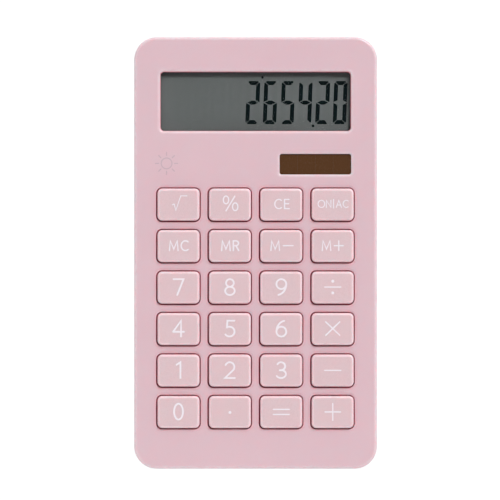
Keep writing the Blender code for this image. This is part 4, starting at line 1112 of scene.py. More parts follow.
# %% Make the battery cover
GRIP_GROOVES = 4
GRIP_START = 3.0 * MM
GRIP_PITCH = 1.8 * MM
GRIP_SIZE = (9.0 * MM, 0.8 * MM)
GRIP_DEPTH = 0.4 * MM
cover_blank = bmesh.new()
close_loft(cover_blank, loft_case(cover_blank, [*base_levels(), (0.0, SEAM_Z)]))
cover_shell = as_object("cover_shell", cover_blank)
plan, tongues, grips = bmesh.new(), bmesh.new(), bmesh.new()
plan_low = (COVER_X - COVER_HALF, cover_low.y, BASE_Z - CUT_PAST)
add_block(plan, plan_low, (COVER_X + COVER_HALF, PAST_END, COVER_TOP), 0.4 * MM, 0.1 * MM)
carve(cover_shell, "INTERSECT", plan)
tongue_half = COVER_HALF + TONGUE_REACH
tongue_low = (COVER_X - tongue_half, cover_low.y + 0.05 * MM, TONGUE_Z - TONGUE_HALF)
tongue_high = (COVER_X + tongue_half, CASE_LENGTH / 2 - BASE_EDGE, TONGUE_Z + TONGUE_HALF)
add_block(tongues, tongue_low, tongue_high, 0.3 * MM, 0.08 * MM)
carve(cover_shell, "UNION", tongues)
half_x, half_y = GRIP_SIZE[0] / 2, GRIP_SIZE[1] / 2
for grip in range(GRIP_GROOVES):
    groove_y = CASE_LENGTH / 2 - BASE_EDGE - GRIP_START - grip * GRIP_PITCH
    low = (COVER_X - half_x, groove_y - half_y, BASE_Z - CUT_PAST)
    add_block(grips, low, (COVER_X + half_x, groove_y + half_y, BASE_Z + GRIP_DEPTH), 0.38 * MM, 0.12 * MM)
carve(cover_shell, "DIFFERENCE", grips)
finish_piece(cover_shell, "battery_cover", ["battery_cover"])
print(count_faces(cover_shell), "with", GRIP_GROOVES, "grip grooves")

# %% [markdown]
# ## Rubber feet
# Each foot is a punched disc of soft rubber pressed into its recess. It has a rounded edge, and its
# underside is a little dished so that it rests on a ring and holds the table.

# %% Turn the feet
FOOT_EDGE = 0.3 * MM
FOOT_DISH = (2.7 * MM, 0.12 * MM)  # radius and depth
foot_pads = []
for node in feet_nodes:
    foot_low, foot_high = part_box(node)
    radius = (foot_high.x - foot_low.x) / 2
    profile = [(FOOT_DISH[0] * 0.6, FOOT_DISH[1] * 0.8), (FOOT_DISH[0], 0.0)]
    profile += [(radius - inset, rise) for inset, rise in fillet(FOOT_EDGE, FOOT_EDGE, 5)]
    profile += [(radius, foot_high.z - FOOT_EDGE / 2), (radius - FOOT_EDGE / 2, foot_high.z)]
    foot_mesh = bmesh.new()
    add_turned(foot_mesh, centre_of(node), profile, 56)
    foot_pad = as_object(node.replace("rubber_foot", "foot_pad"), foot_mesh)
    foot_pads.append(finish_piece(foot_pad, "case", [node]))
print(len(foot_pads), "feet of", round(2 * radius / MM, 1), "mm")

# %% [markdown]
# ## Screws
# Eight self-tapping screws hold the case and the board. A real thread is a helix, but these threads stay
# hidden in their bosses, so a stack of equal ridges stands for it, turned in one profile. The cross
# recess is a tapered star cut by a Boolean, and every screw of a kind shares one mesh.

# %% Turn and cut the screws
SCREW_RADIUS = 0.85 * MM
SCREW_CORE = 0.62 * MM
THREAD_PITCH = 0.7 * MM
HEAD_RADIUS = 1.9 * MM
HEAD_HEIGHT = 1.2 * MM
CROSS_ARM = (1.15 * MM, 0.30 * MM)  # half length and half width at the face of the head
CROSS_DEPTH = 0.85 * MM


def cross_outline(reach, half):
    corner = [(reach, -half), (reach, half), (half, half)]
    turns = [Matrix.Rotation(math.radians(90.0 * quarter), 2) for quarter in range(4)]
    return [turn @ Vector(point) for turn in turns for point in corner]


def screw_data(name, length):
    """A pan-head screw about its own axis, head down, with height 0 under the head."""
    profile = [(HEAD_RADIUS - inset, rise - HEAD_HEIGHT) for inset, rise in fillet(0.75 * MM, 0.7 * MM, 6)]
    profile += [(HEAD_RADIUS, 0.0), (SCREW_RADIUS, 0.0)]
    ridge = 0.25 * MM
    while ridge < length - 1.3 * MM:
        profile += [(SCREW_CORE, ridge), (SCREW_CORE, ridge + 0.3 * MM)]
        profile += [(SCREW_RADIUS, ridge + 0.46 * MM), (SCREW_RADIUS, ridge + 0.52 * MM)]
        ridge += THREAD_PITCH
    profile += [(SCREW_CORE, ridge), (0.1 * MM, length)]
    mesh = bmesh.new()
    add_turned(mesh, (0.0, 0.0), profile, 32)
    blank = as_object(name, mesh)
    recess = bmesh.new()
    star_rings = []
    for height, share in ((-HEAD_HEIGHT - 0.1 * MM, 1.1), (-HEAD_HEIGHT + CROSS_DEPTH, 0.6)):
        star = cross_outline(CROSS_ARM[0] * share, CROSS_ARM[1] * share)
        star_rings.append(add_ring(recess, star, height))
    join_rings(recess, star_rings)
    for ring in star_rings:
        fill_between(recess, [ring])
    carve(blank, "DIFFERENCE", recess)
    return shared_mesh(blank)


screws = []
for kind, nodes in (("case", case_screws), ("board", board_screws)):
    low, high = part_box(nodes[0])
    data = screw_data(f"{kind}_screw_mesh", high.z - low.z - HEAD_HEIGHT)
    for number, node in enumerate(nodes, start=1):
        screw = show(f"{kind}_fastener_{number}", data, (*centre_of(node), low.z + HEAD_HEIGHT))
        weigh_normals(screw)
        screws.append(settle(screw, "case", [node]))
print(len(screws), "screws,", len(data.polygons), "faces on the short ones")

# %% [markdown]
# ## Button cell
# A button cell is a steel can and a steel cap, kept apart by a nylon ring that shows as a thin dark line.
# One turned piece would hide that, so the can, the ring and the cap are turned separately.

# %% Turn the button cell
CAP_RADIUS = CELL_RADIUS - 1.1 * MM
RING_WIDTH = 0.25 * MM
SHOULDER = 0.35 * MM
CAP_BREAK = 0.3 * MM
shoulder_z = cell_high.z - SHOULDER
ring_radius = CAP_RADIUS + RING_WIDTH


def cell_piece(name, profile, nodes=()):
    """A piece turned about the cell's axis."""
    mesh = bmesh.new()
    add_turned(mesh, CELL_CENTRE, profile, 72)
    return finish_piece(as_object(name, mesh), "case", nodes)


can_profile = [(CELL_RADIUS - inset, cell_low.z + rise) for inset, rise in fillet(0.4 * MM, 0.35 * MM)]
can_profile += [(CELL_RADIUS, shoulder_z - 0.3 * MM), (CELL_RADIUS - 0.09 * MM, shoulder_z - 0.08 * MM)]
can_profile += [(CELL_RADIUS - 0.3 * MM, shoulder_z), (ring_radius, shoulder_z)]
can_profile += [(ring_radius, shoulder_z - 0.2 * MM)]
cell_can = cell_piece("cell_can", can_profile, ["button_cell"])
ring_profile = [(ring_radius - CLEAR, shoulder_z - 0.18 * MM), (ring_radius - CLEAR, shoulder_z + 0.03 * MM)]
ring_profile += [(CAP_RADIUS, shoulder_z + 0.03 * MM)]
cell_ring = cell_piece("cell_ring", ring_profile)
cap_profile = [(CAP_RADIUS, shoulder_z - 0.15 * MM), (CAP_RADIUS, shoulder_z + 0.1 * MM)]
cap_edge = reversed(fillet(0.2 * MM, CAP_BREAK, 4))
cap_profile += [(CAP_RADIUS - inset, cell_high.z - drop) for inset, drop in cap_edge]
cell_cap = cell_piece("cell_cap", cap_profile)
print("cell", round(2 * CELL_RADIUS / MM, 1), "by", round((cell_high.z - cell_low.z) / MM, 2), "mm")

# %% [markdown]
# ## Keypad mat
# Under the keys lies one silicone sheet with a hollow dome for each key, and a black contact pill inside
# each dome. When a key is pressed its dome folds flat. The sheet has a round hole at each key, and each
# dome is its own piece with its own mesh, which rides on the case.

# %% Make the sheet, the domes and their pills
mat_low, mat_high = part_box("keypad_mat")
MAT_THICKNESS = 0.7 * MM
DOME_BASE = 4.6 * MM
DOME_TOP = 2.6 * MM
DOME_WALL = 0.55 * MM
PILL_RADIUS = 1.6 * MM
PILL_EDGE = 0.15 * MM
PILL_LOW_Z = board_high.z + 1.2 * MM
sheet_top = mat_low.z + MAT_THICKNESS
mat_mesh = bmesh.new()
mat_centre, mat_size = plan_of("keypad_mat")
mat_holes = [(centre, DOME_BASE) for centre in key_centres.values()]
mat_holes += [(centre, PIN_RADIUS + 0.4 * MM) for centre in pin_centres]
mat_loops = []
for height in (mat_low.z, sheet_top):
    loops = [add_ring(mat_mesh, rounded_outline(*mat_size, 1.0 * MM), height, mat_centre)]
    for centre, radius in mat_holes:
        loops.append(add_ring(mat_mesh, circle_outline(radius, 40), height, centre))
    mat_loops.append(loops)
    fill_between(mat_mesh, loops)
for lower, upper in zip(*mat_loops):
    join_rings(mat_mesh, [lower, upper])
mat_sheet = finish_piece(as_object("mat_sheet", mat_mesh), "case", ["keypad_mat"])

# The profile runs down the inside of the dome from its crown, then up the outside.
dome_mesh = bmesh.new()
dome_profile = [(DOME_TOP - 0.3 * MM, mat_high.z - DOME_WALL)]
dome_profile.append((DOME_BASE - DOME_WALL - 0.1 * MM, sheet_top - 0.2 * MM))
dome_profile.append((DOME_BASE - DOME_WALL, mat_low.z))
dome_profile += [(DOME_BASE + 0.02 * MM, mat_low.z), (DOME_BASE + 0.02 * MM, sheet_top)]
dome_profile.append((DOME_TOP + 0.25 * MM, mat_high.z - 0.35 * MM))
dome_profile += [(DOME_TOP + 0.1 * MM, mat_high.z - 0.1 * MM), (DOME_TOP - 0.15 * MM, mat_high.z)]
add_turned(dome_mesh, (0.0, 0.0), dome_profile, 40)
dome_data = shared_mesh(as_object("dome_blank", dome_mesh))
pill_mesh = bmesh.new()
pill_profile = [(PILL_RADIUS - PILL_EDGE, PILL_LOW_Z), (PILL_RADIUS, PILL_LOW_Z + PILL_EDGE)]
pill_profile.append((PILL_RADIUS, mat_high.z - DOME_WALL + 0.1 * MM))
add_turned(pill_mesh, (0.0, 0.0), pill_profile, 32)
pill_data = shared_mesh(as_object("pill_blank", pill_mesh))

domes, pills = [], []
for name, centre in key_centres.items():
    for data, made, title in ((dome_data, domes, "dome_"), (pill_data, pills, "pill_")):
        piece = settle(show(name.replace("key_", title), data, (*centre, 0.0)), "case")
        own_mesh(piece)
        made.append(piece)
print(len(domes), "domes on", count_faces(mat_sheet))

# %% [markdown]
# ## Contact pads
# On the board, under each pill, two printed carbon combs lie finger between finger, and the pill joins
# them when it comes down. They are a film only a hair thick, so they are drawn like the legends, as flat
# prisms of ink on the board.

# %% Print the contact pads
PAD_FILM = 0.03 * MM
PAD_FINGERS = 6
FINGER_PITCH = 0.62 * MM
FINGER_WIDTH = 0.3 * MM
FINGER_LENGTH = 3.0 * MM
FINGER_SHIFT = 0.25 * MM  # every second finger lies this far up, the others as far down
SPINE_Y = FINGER_LENGTH / 2 + 0.3 * MM
pads = bmesh.new()
pad_low, pad_high = board_high.z - PAD_FILM, board_high.z + PAD_FILM
finger_outline = rounded_outline(FINGER_WIDTH, FINGER_LENGTH, FINGER_WIDTH / 3, 2)
spine_outline = rounded_outline(PAD_FINGERS * FINGER_PITCH, FINGER_WIDTH, FINGER_WIDTH / 3, 2)
for centre_x, centre_y in key_centres.values():
    for finger in range(PAD_FINGERS):
        x = centre_x + (finger - (PAD_FINGERS - 1) / 2) * FINGER_PITCH
        y = centre_y + (FINGER_SHIFT if finger % 2 else -FINGER_SHIFT)
        add_ink(pads, [finger_outline], pad_low, pad_high, (x, y))
    for side in (-1, 1):
        spine = (centre_x, centre_y + side * SPINE_Y)
        add_ink(pads, [spine_outline], pad_low, pad_high + 0.2 * PAD_FILM, spine)
contact_pads = settle(as_object("contact_pads", pads), "case")
print(count_faces(contact_pads))

# %% [markdown]
# ## Shared effects
# Fine grain, worn edges with their painted highlight, painted shade in the gaps, dust and drawn streaks turn
# up in many finishes. Each could be wired again in every material, but a node group is built once and
# placed wherever it is wanted, with its own values.
# The groups give only colours and values that change over the surface. The shader stays in the material.


# %% Start a group with named inputs and outputs
def new_group(name, inputs, outputs):
    """A shader node group, with its input sockets and the input sockets of its output node."""
    group = bpy.data.node_groups.new(name, "ShaderNodeTree")
    for label, value in inputs.items():
        kind = "NodeSocketColor" if isinstance(value, tuple) else "NodeSocketFloat"
        group.interface.new_socket(label, in_out="INPUT", socket_type=kind).default_value = value
    for label in outputs:
        kind = "NodeSocketColor" if label.endswith("Colour") else "NodeSocketFloat"
        group.interface.new_socket(label, in_out="OUTPUT", socket_type=kind)
    start = add_node(group, "NodeGroupInput").outputs
    end = add_node(group, "NodeGroupOutput").inputs
    return group, start, end


def piece_coordinates(tree):
    """Places on the piece in metres, moved by a different amount for each piece so that no two match."""
    own = add_node(tree, "ShaderNodeTexCoord").outputs["Object"]
    number = add_node(tree, "ShaderNodeObjectInfo").outputs["Random"]
    spread = calculate(tree, "MULTIPLY", number, 1.7)
    return add_node(tree, "ShaderNodeVectorMath", {0: own, 1: spread}, operation="ADD").outputs[0]


def noise_at(tree, place, scale, detail=2.0, roughness=0.5):
    inputs = {"Vector": place, "Scale": scale, "Detail": detail, "Roughness": roughness}
    return add_node(tree, "ShaderNodeTexNoise", inputs).outputs["Fac"]


def centred(tree, value, size):
    """A noise value moved from 0..1 to swing by size about 0."""
    return calculate(tree, "MULTIPLY", calculate(tree, "SUBTRACT", value, 0.5), size)


def stretched(tree, value, start, end):
    """A value moved so that start becomes 0 and end becomes 1, and no further."""
    inputs = {"Value": value, "From Min": start, "From Max": end}
    return add_node(tree, "ShaderNodeMapRange", inputs).outputs["Result"]


WHITE = (1.0, 1.0, 1.0, 1.0)
print("group helpers ready")

# %% [markdown]
# ### Moulded grain
# The tool of a moulding is spark-eroded, which leaves a fine even grain in the plastic. The colour is
# mixed into the melt, so it varies only slightly and over wide patches. One fine noise gives the grain
# and its spread of roughness, and one wide noise gives the drift in colour.

# %% Build the moulded grain group
moulded_grain, grain_in, grain_out = new_group(
    "moulded_grain",
    {
        "Base Colour": WHITE,
        "Colour Drift": 0.02,
        "Roughness": 0.5,
        "Roughness Spread": 0.1,
        "Grains per Metre": 3000.0,
    },
    ("Colour", "Roughness", "Height"),
)
place = piece_coordinates(moulded_grain)
fine = noise_at(moulded_grain, place, grain_in["Grains per Metre"], 3.0, 0.6)
wide = noise_at(moulded_grain, place, 38.0, 2.0)
drift = calculate(moulded_grain, "MULTIPLY", centred(moulded_grain, wide, 2.0), grain_in["Colour Drift"])
fleck = calculate(moulded_grain, "MULTIPLY", centred(moulded_grain, fine, 1.0), grain_in["Colour Drift"])
lightness = calculate(moulded_grain, "ADD", calculate(moulded_grain, "ADD", drift, fleck), 1.0)
inputs = {"Color": grain_in["Base Colour"], "Value": lightness}
tinted = add_node(moulded_grain, "ShaderNodeHueSaturation", inputs)
moulded_grain.links.new(tinted.outputs["Color"], grain_out["Colour"])
spread = calculate(
    moulded_grain, "MULTIPLY", centred(moulded_grain, fine, 2.0), grain_in["Roughness Spread"]
)
rough = calculate(moulded_grain, "ADD", grain_in["Roughness"], spread)
moulded_grain.links.new(rough, grain_out["Roughness"])
moulded_grain.links.new(fine, grain_out["Height"])
print(moulded_grain.name, "has", len(moulded_grain.nodes), "nodes")

# %% [markdown]
# ### Worn edges and painted highlight
# Handling polishes the outer edges first. The worn colour is lighter than the plastic, so it also paints
# the bright line that light draws along the edges and rims, a painted highlight. Every mesh here stores how
# tightly it bends outwards, so wear can follow that number, broken up by a noise so that it is never an
# even line.

# %% Build the edge wear and painted highlight group
edge_wear_and_highlight, wear_highlight_in, wear_highlight_out = new_group(
    "edge_wear_and_highlight",
    {
        "Base Colour": WHITE,
        "Worn and Highlight Colour": WHITE,
        "Roughness": 0.5,
        "Worn Roughness": 0.3,
        "Amount": 0.5,
    },
    ("Colour", "Roughness"),
)
bend = add_node(edge_wear_and_highlight, "ShaderNodeAttribute", attribute_name="edge").outputs["Fac"]
patches = noise_at(edge_wear_and_highlight, piece_coordinates(edge_wear_and_highlight), 420.0, 4.0, 0.65)
broken = stretched(edge_wear_and_highlight, patches, 0.2, 0.55)
# the share of the worn colour, which is real wear and a painted highlight at once
worn_and_lit = calculate(edge_wear_and_highlight, "MULTIPLY", calculate(edge_wear_and_highlight, "MULTIPLY", bend, broken), wear_highlight_in["Amount"])
edge_wear_and_highlight.links.new(
    blend_colours(edge_wear_and_highlight, worn_and_lit, wear_highlight_in["Base Colour"], wear_highlight_in["Worn and Highlight Colour"]), wear_highlight_out["Colour"]
)
duller = calculate(edge_wear_and_highlight, "SUBTRACT", wear_highlight_in["Worn Roughness"], wear_highlight_in["Roughness"])
edge_wear_and_highlight.links.new(
    calculate(edge_wear_and_highlight, "MULTIPLY_ADD", duller, worn_and_lit, wear_highlight_in["Roughness"]), wear_highlight_out["Roughness"]
)
print(edge_wear_and_highlight.name, "has", len(edge_wear_and_highlight.nodes), "nodes")

# %% [markdown]
# ### Dust
# Dust settles only on what faces up, in loose specks. It could be scattered as tiny meshes, but at this
# size a mask is enough: a coarse noise gathers a fine one, and the face's own direction cuts it off.

# %% Build the dust group
dust, dust_in, dust_out = new_group(
    "dust",
    {"Base Colour": WHITE, "Dust Colour": (0.75, 0.72, 0.70, 1.0), "Roughness": 0.5, "Amount": 0.1},
    ("Colour", "Roughness"),
)
normal = add_node(dust, "ShaderNodeNewGeometry").outputs["Normal"]
facing = add_node(dust, "ShaderNodeSeparateXYZ", {0: normal}).outputs["Z"]
upwards = stretched(dust, facing, 0.6, 0.95)
place = piece_coordinates(dust)
specks = stretched(dust, noise_at(dust, place, 2600.0, 2.0), 0.62, 0.74)
clusters = noise_at(dust, place, 120.0, 3.0)
lying = calculate(dust, "MULTIPLY", calculate(dust, "MULTIPLY", specks, clusters), upwards)
share = calculate(dust, "MULTIPLY", lying, dust_in["Amount"])
dust.links.new(
    blend_colours(dust, share, dust_in["Base Colour"], dust_in["Dust Colour"]), dust_out["Colour"]
)
dust.links.new(
    calculate(dust, "MULTIPLY_ADD", share, 0.35, dust_in["Roughness"]), dust_out["Roughness"]
)
print(dust.name, "has", len(dust.nodes), "nodes")

# %% [markdown]
# ### Drawn metal
# Sheet steel shows the fine parallel lines of the rollers, and a stamped part keeps them. The lines are
# a noise stretched a hundred times along one direction, and small stains come from a wider noise.

# %% Build the drawn metal group
drawn_metal, metal_in, metal_out = new_group(
    "drawn_metal",
    {
        "Base Colour": WHITE,
        "Stain Colour": (0.3, 0.28, 0.25, 1.0),
        "Stain": 0.2,
        "Roughness": 0.3,
        "Roughness Spread": 0.15,
        "Lines per Metre": 9000.0,
    },
    ("Colour", "Roughness", "Height"),
)
place = piece_coordinates(drawn_metal)
rolled = add_node(drawn_metal, "ShaderNodeMapping", {"Vector": place, "Scale": (0.01, 1.0, 0.2)})
lines = noise_at(drawn_metal, rolled.outputs["Vector"], metal_in["Lines per Metre"], 2.0)
stains = stretched(drawn_metal, noise_at(drawn_metal, place, 260.0, 4.0, 0.6), 0.5, 0.75)
share = calculate(drawn_metal, "MULTIPLY", stains, metal_in["Stain"])
drawn_metal.links.new(
    blend_colours(drawn_metal, share, metal_in["Base Colour"], metal_in["Stain Colour"]),
    metal_out["Colour"],
)
spread = calculate(
    drawn_metal, "MULTIPLY", centred(drawn_metal, lines, 2.0), metal_in["Roughness Spread"]
)
dulled = calculate(drawn_metal, "MULTIPLY_ADD", share, 0.3, metal_in["Roughness"])
drawn_metal.links.new(calculate(drawn_metal, "ADD", dulled, spread), metal_out["Roughness"])
drawn_metal.links.new(lines, metal_out["Height"])
print(drawn_metal.name, "has", len(drawn_metal.nodes), "nodes")

# %% [markdown]
# ### Gap shade
# Painted shade: the walls of the openings, and the keys below the face of the case, are painted a darker
# red, as shadow and light bounced between pink walls make them. The meshes there store how deep each
# point lies below the face, and this group darkens by it.

# %% Build the gap shade group
gap_shade, gap_in, gap_out = new_group(
    "gap_shade", {"Base Colour": WHITE, "Gap Colour": (0.3, 0.1, 0.13, 1.0), "Amount": 1.0}, ("Colour",)
)
depth = add_node(gap_shade, "ShaderNodeAttribute", attribute_name="depth").outputs["Fac"]
# painted shade: the deeper a point lies, the more its colour turns to the shade colour
painted_shade_share = calculate(gap_shade, "MULTIPLY", depth, gap_in["Amount"])
gap_shade.links.new(
    blend_colours(gap_shade, painted_shade_share, gap_in["Base Colour"], gap_in["Gap Colour"]), gap_out["Colour"]
)
print(gap_shade.name, "has", len(gap_shade.nodes), "nodes")

# %% [markdown]
# ### Printed tracks
# The board and the ribbon both carry narrow conductors side by side. Bars cut from a sawtooth across the
# piece give them, and a coarse noise in steps shifts the bars here and there, as routed tracks turn.

# %% Build the printed tracks group
printed_tracks, track_in, track_out = new_group(
    "printed_tracks",
    {
        "Base Colour": WHITE,
        "Track Colour": (0.2, 0.2, 0.2, 1.0),
        "Tracks per Metre": 900.0,
        "Share": 0.45,
        "Turns": 0.0,
    },
    ("Colour", "Mask"),
)
place = add_node(printed_tracks, "ShaderNodeTexCoord").outputs["Object"]
across = add_node(printed_tracks, "ShaderNodeSeparateXYZ", {0: place}).outputs["X"]
turning = noise_at(printed_tracks, place, 95.0, 1.0)
stepped = calculate(printed_tracks, "SNAP", turning, 0.04)
shifted = calculate(printed_tracks, "MULTIPLY_ADD", stepped, track_in["Turns"], across)
saw = calculate(
    printed_tracks, "FRACT", calculate(printed_tracks, "MULTIPLY", shifted, track_in["Tracks per Metre"])
)
bars = calculate(printed_tracks, "LESS_THAN", saw, track_in["Share"])
printed_tracks.links.new(
    blend_colours(printed_tracks, bars, track_in["Base Colour"], track_in["Track Colour"]),
    track_out["Colour"],
)
printed_tracks.links.new(bars, track_out["Mask"])
print(printed_tracks.name, "has", len(printed_tracks.nodes), "nodes")

# %% [markdown]
# ## Materials
# A material places the groups it needs and ends in one Principled shader. Two short helpers start each
# one and place a group in it, so that a finish reads as a recipe.


# %% Start a material, place a group in it, and paint pieces with it
def new_finish(name, **constants):
    """An empty material with its shader; constants go straight onto the shader's sockets."""
    material = bpy.data.materials.new(name)
    material.use_nodes = True
    tree = material.node_tree
    shader = tree.nodes["Principled BSDF"]
    for socket, value in constants.items():
        shader.inputs[socket.replace("_", " ")].default_value = value
    return material, tree, shader


def use_group(tree, group, inputs):
    return add_node(tree, "ShaderNodeGroup", inputs, node_tree=group).outputs


def rgb(red, green, blue):
    return (red, green, blue, 1.0)


def wire(tree, shader, outputs, height=None, distance=0.004 * MM, strength=0.6):
    """Links a group's colour and roughness to the shader, and a height to it as bump."""
    tree.links.new(outputs["Colour"], shader.inputs["Base Color"])
    tree.links.new(outputs["Roughness"], shader.inputs["Roughness"])
    if height:
        inputs = {"Height": height, "Distance": distance, "Strength": strength}
        made = add_node(tree, "ShaderNodeBump", inputs)
        tree.links.new(made.outputs["Normal"], shader.inputs["Normal"])


def paint(material, *pieces):
    for piece in pieces:
        piece.data.materials.clear()
        piece.data.materials.append(material)
    print(material.name, "on", len(pieces), "pieces")


def cad(*names):
    """The solids of the frame that stay in view."""
    return [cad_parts[name] for name in names]


print("material helpers ready")

# %% [markdown]
# ### Plastic
# Every moulded piece is the same recipe: grain, then polished edges, which also carry a painted highlight,
# then painted shade in its gaps, then a trace of dust. Only colours and amounts differ, so one function
# makes them all.


# %% The recipe for moulded plastic
def plastic(
    name, colour, roughness=0.5, worn_and_lit=None, wear_and_highlight_amount=0.35, gap=None, drift=0.02, dusty=0.1, **constants
):
    """Moulded plastic in one colour, with its worn colour, which is also a painted highlight, and the colour
    of the painted shade in its gaps.
    """
    material, tree, shader = new_finish(name, **constants)
    inputs = {"Base Colour": colour, "Colour Drift": drift, "Roughness": roughness}
    skin = use_group(tree, moulded_grain, {**inputs, "Roughness Spread": 0.08, "Grains per Metre": 3600.0})
    shown, rough = skin["Colour"], skin["Roughness"]
    # worn edges, lighter in colour, which also paints a highlight along them
    if worn_and_lit:
        inputs = {"Base Colour": shown, "Roughness": rough, "Amount": wear_and_highlight_amount}
        inputs |= {"Worn and Highlight Colour": worn_and_lit, "Worn Roughness": roughness - 0.1}
        edges = use_group(tree, edge_wear_and_highlight, inputs)
        shown, rough = edges["Colour"], edges["Roughness"]
    # painted shade in the gaps
    if gap:
        shown = use_group(tree, gap_shade, {"Base Colour": shown, "Gap Colour": gap})["Colour"]
    inputs = {"Base Colour": shown, "Roughness": rough, "Amount": dusty}
    wire(tree, shader, use_group(tree, dust, inputs), skin["Height"])
    return material


print("plastic recipe ready")

# %% [markdown]
# ### The pink plastics
# Light goes a little way into pale plastic and comes out redder, which warms the gaps and edges. The
# shader's subsurface setting does that. The keys are a trace paler than the case and glossier at the rim.
# On both, the pale worn colour paints a highlight along the rims, and the gap colour paints shade in the
# gaps.

# %% Paint the case and the keys
PINK_GLOW = {
    "Subsurface_Weight": 0.5,
    "Subsurface_Scale": 0.9 * MM,
    "Subsurface_Radius": (1.0, 0.32, 0.36),
}
# the dark red of the painted shade in the gaps and down the walls of the openings
GAP_SHADE_PINK = rgb(0.81, 0.19, 0.26)
# the pale worn colours paint the highlight along the rims of the openings and the slopes of the keys
case_pink = plastic(
    "case_pink", rgb(0.82, 0.59, 0.645), 0.34, rgb(0.94, 0.80, 0.84), 0.9, GAP_SHADE_PINK, **PINK_GLOW
)
key_pink = plastic(
    "key_pink", rgb(0.825, 0.62, 0.65), 0.28, rgb(1.0, 0.77, 0.82), 1.0, GAP_SHADE_PINK, **PINK_GLOW
)
paint(case_pink, front_shell, inner_posts, back_shell, cover_shell)
cap_data.materials.append(key_pink)
print(key_pink.name, "on the mesh that all keycaps share")

# %% [markdown]
# ### Inks
# Pad-printing ink is a matt film that covers well. The legends are a pale lilac, and the sun is only a
# little darker than the case.

# %% Paint the prints
paint(plastic("legend_ink", rgb(0.99, 0.89, 0.95), drift=0.01), *legends)
paint(plastic("sun_ink", rgb(0.68, 0.49, 0.55)), sun_print)
paint(plastic("carbon_ink", rgb(0.02, 0.02, 0.022), 0.6), contact_pads, *pills)

# %% [markdown]
# ### Display films
# Seen from above, the polariser hides everything below it: the field is a greenish grey, the lit bars are
# nearly black, and the idle bars differ from the field only a little.

# %% Paint the display
FILM_SHINE = {"Specular_IOR_Level": 0.2}
face_grey = plastic("face_grey", rgb(0.096, 0.101, 0.101), 0.2, **FILM_SHINE)
paint(face_grey, display_face)
lit_black = plastic("lit_black", rgb(0.003, 0.006, 0.007), 0.2, dusty=0.0, Specular_IOR_Level=0.1)
paint(lit_black, display_digits)
idle_grey = plastic("idle_grey", rgb(0.093, 0.099, 0.098), 0.2, dusty=0.0, **FILM_SHINE)
paint(idle_grey, display_idle)
display_glass = plastic("display_glass", rgb(0.16, 0.18, 0.17), 0.08, dusty=0.0, Coat_Weight=0.4)
paint(display_glass, *cad("lcd_front_glass", "lcd_rear_glass"))
reflector_film = plastic("reflector_film", rgb(0.55, 0.58, 0.57), 0.3, Metallic=0.8)
paint(reflector_film, *cad("lcd_reflector"))

# %% [markdown]
# ### Solar cell
# Amorphous silicon is a reddish brown under clear glass. The glass gives its shine as a coat over the
# brown, because it is bonded to it without a gap. The scribed lines are a shade darker.

# %% Paint the solar cell
solar_brown = plastic("solar_brown", rgb(0.104, 0.045, 0.018), 0.25, Coat_Weight=0.1, Coat_Roughness=0.08)
paint(solar_brown, solar_panel)
scribe_brown = plastic("scribe_brown", rgb(0.075, 0.033, 0.016), 0.3)
paint(scribe_brown, solar_scribes)

# %% [markdown]
# ### Clear window
# The window is clear acrylic. Full transmission would bend the light well but throw a dark shadow on the
# display, so shadow rays pass straight through, and everything else meets the real surface.

# %% Paint the window
clear, tree, shader = new_finish(
    "clear_window", Roughness=0.03, IOR=1.49, Transmission_Weight=1.0, Base_Color=rgb(0.97, 0.985, 0.98)
)
through = add_node(tree, "ShaderNodeBsdfTransparent")
path = add_node(tree, "ShaderNodeLightPath")
surfaces = {0: path.outputs["Is Shadow Ray"], 1: shader.outputs[0], 2: through.outputs[0]}
mixed = add_node(tree, "ShaderNodeMixShader", surfaces)
tree.links.new(mixed.outputs[0], tree.nodes["Material Output"].inputs["Surface"])
paint(clear, window_pane)

# %% [markdown]
# ### Silicone and rubber
# Silicone is milky and lets some light through, and the feet are a soft pink rubber that picks up dust.
# Both come from the plastic recipe with a rougher skin.

# %% Paint the mat and the feet
milky = plastic(
    "milky_silicone", rgb(0.62, 0.65, 0.65), 0.55, Subsurface_Weight=0.4, Subsurface_Scale=1.2 * MM
)
paint(milky, mat_sheet, *domes)
foot_rubber = plastic("foot_rubber", rgb(0.52, 0.36, 0.40), 0.8, rgb(0.60, 0.46, 0.49), 0.6, dusty=0.6)
paint(foot_rubber, *foot_pads)

# %% [markdown]
# ### Board and ribbon
# The board is brown phenolic paper with carbon tracks under a clear lacquer. The ribbon is an amber film
# with straight conductors. Both place the tracks group first and run its colour through the grain.


# %% Paint the board and the ribbon
def tracked(name, base, tracks, per_metre, share, turns, roughness, **constants):
    """A lacquered sheet with printed conductors that stand a little proud."""
    material, tree, shader = new_finish(name, **constants)
    inputs = {"Base Colour": base, "Track Colour": tracks, "Tracks per Metre": per_metre}
    lines = use_group(tree, printed_tracks, {**inputs, "Share": share, "Turns": turns})
    inputs = {"Base Colour": lines["Colour"], "Colour Drift": 0.12, "Roughness": roughness}
    skin = use_group(tree, moulded_grain, {**inputs, "Grains per Metre": 1400.0})
    wire(tree, shader, skin, lines["Mask"], 0.03 * MM)
    return material


board_brown = tracked(
    "board_brown", rgb(0.30, 0.16, 0.055), rgb(0.16, 0.09, 0.04), 420.0, 0.42, 0.06, 0.5, Coat_Weight=0.3
)
paint(board_brown, *cad("circuit_board"))
ribbon_amber = tracked(
    "ribbon_amber", rgb(0.50, 0.27, 0.07), rgb(0.10, 0.07, 0.05), 1100.0, 0.5, 0.0, 0.35
)
paint(ribbon_amber, *cad("lcd_ribbon"))

# %% [markdown]
# ### Steel
# The clamp and the contact leaves are stamped from rolled sheet, the screws are plated wire, and the cell
# is a polished can. All are the same drawn metal, with different stains and roughness.


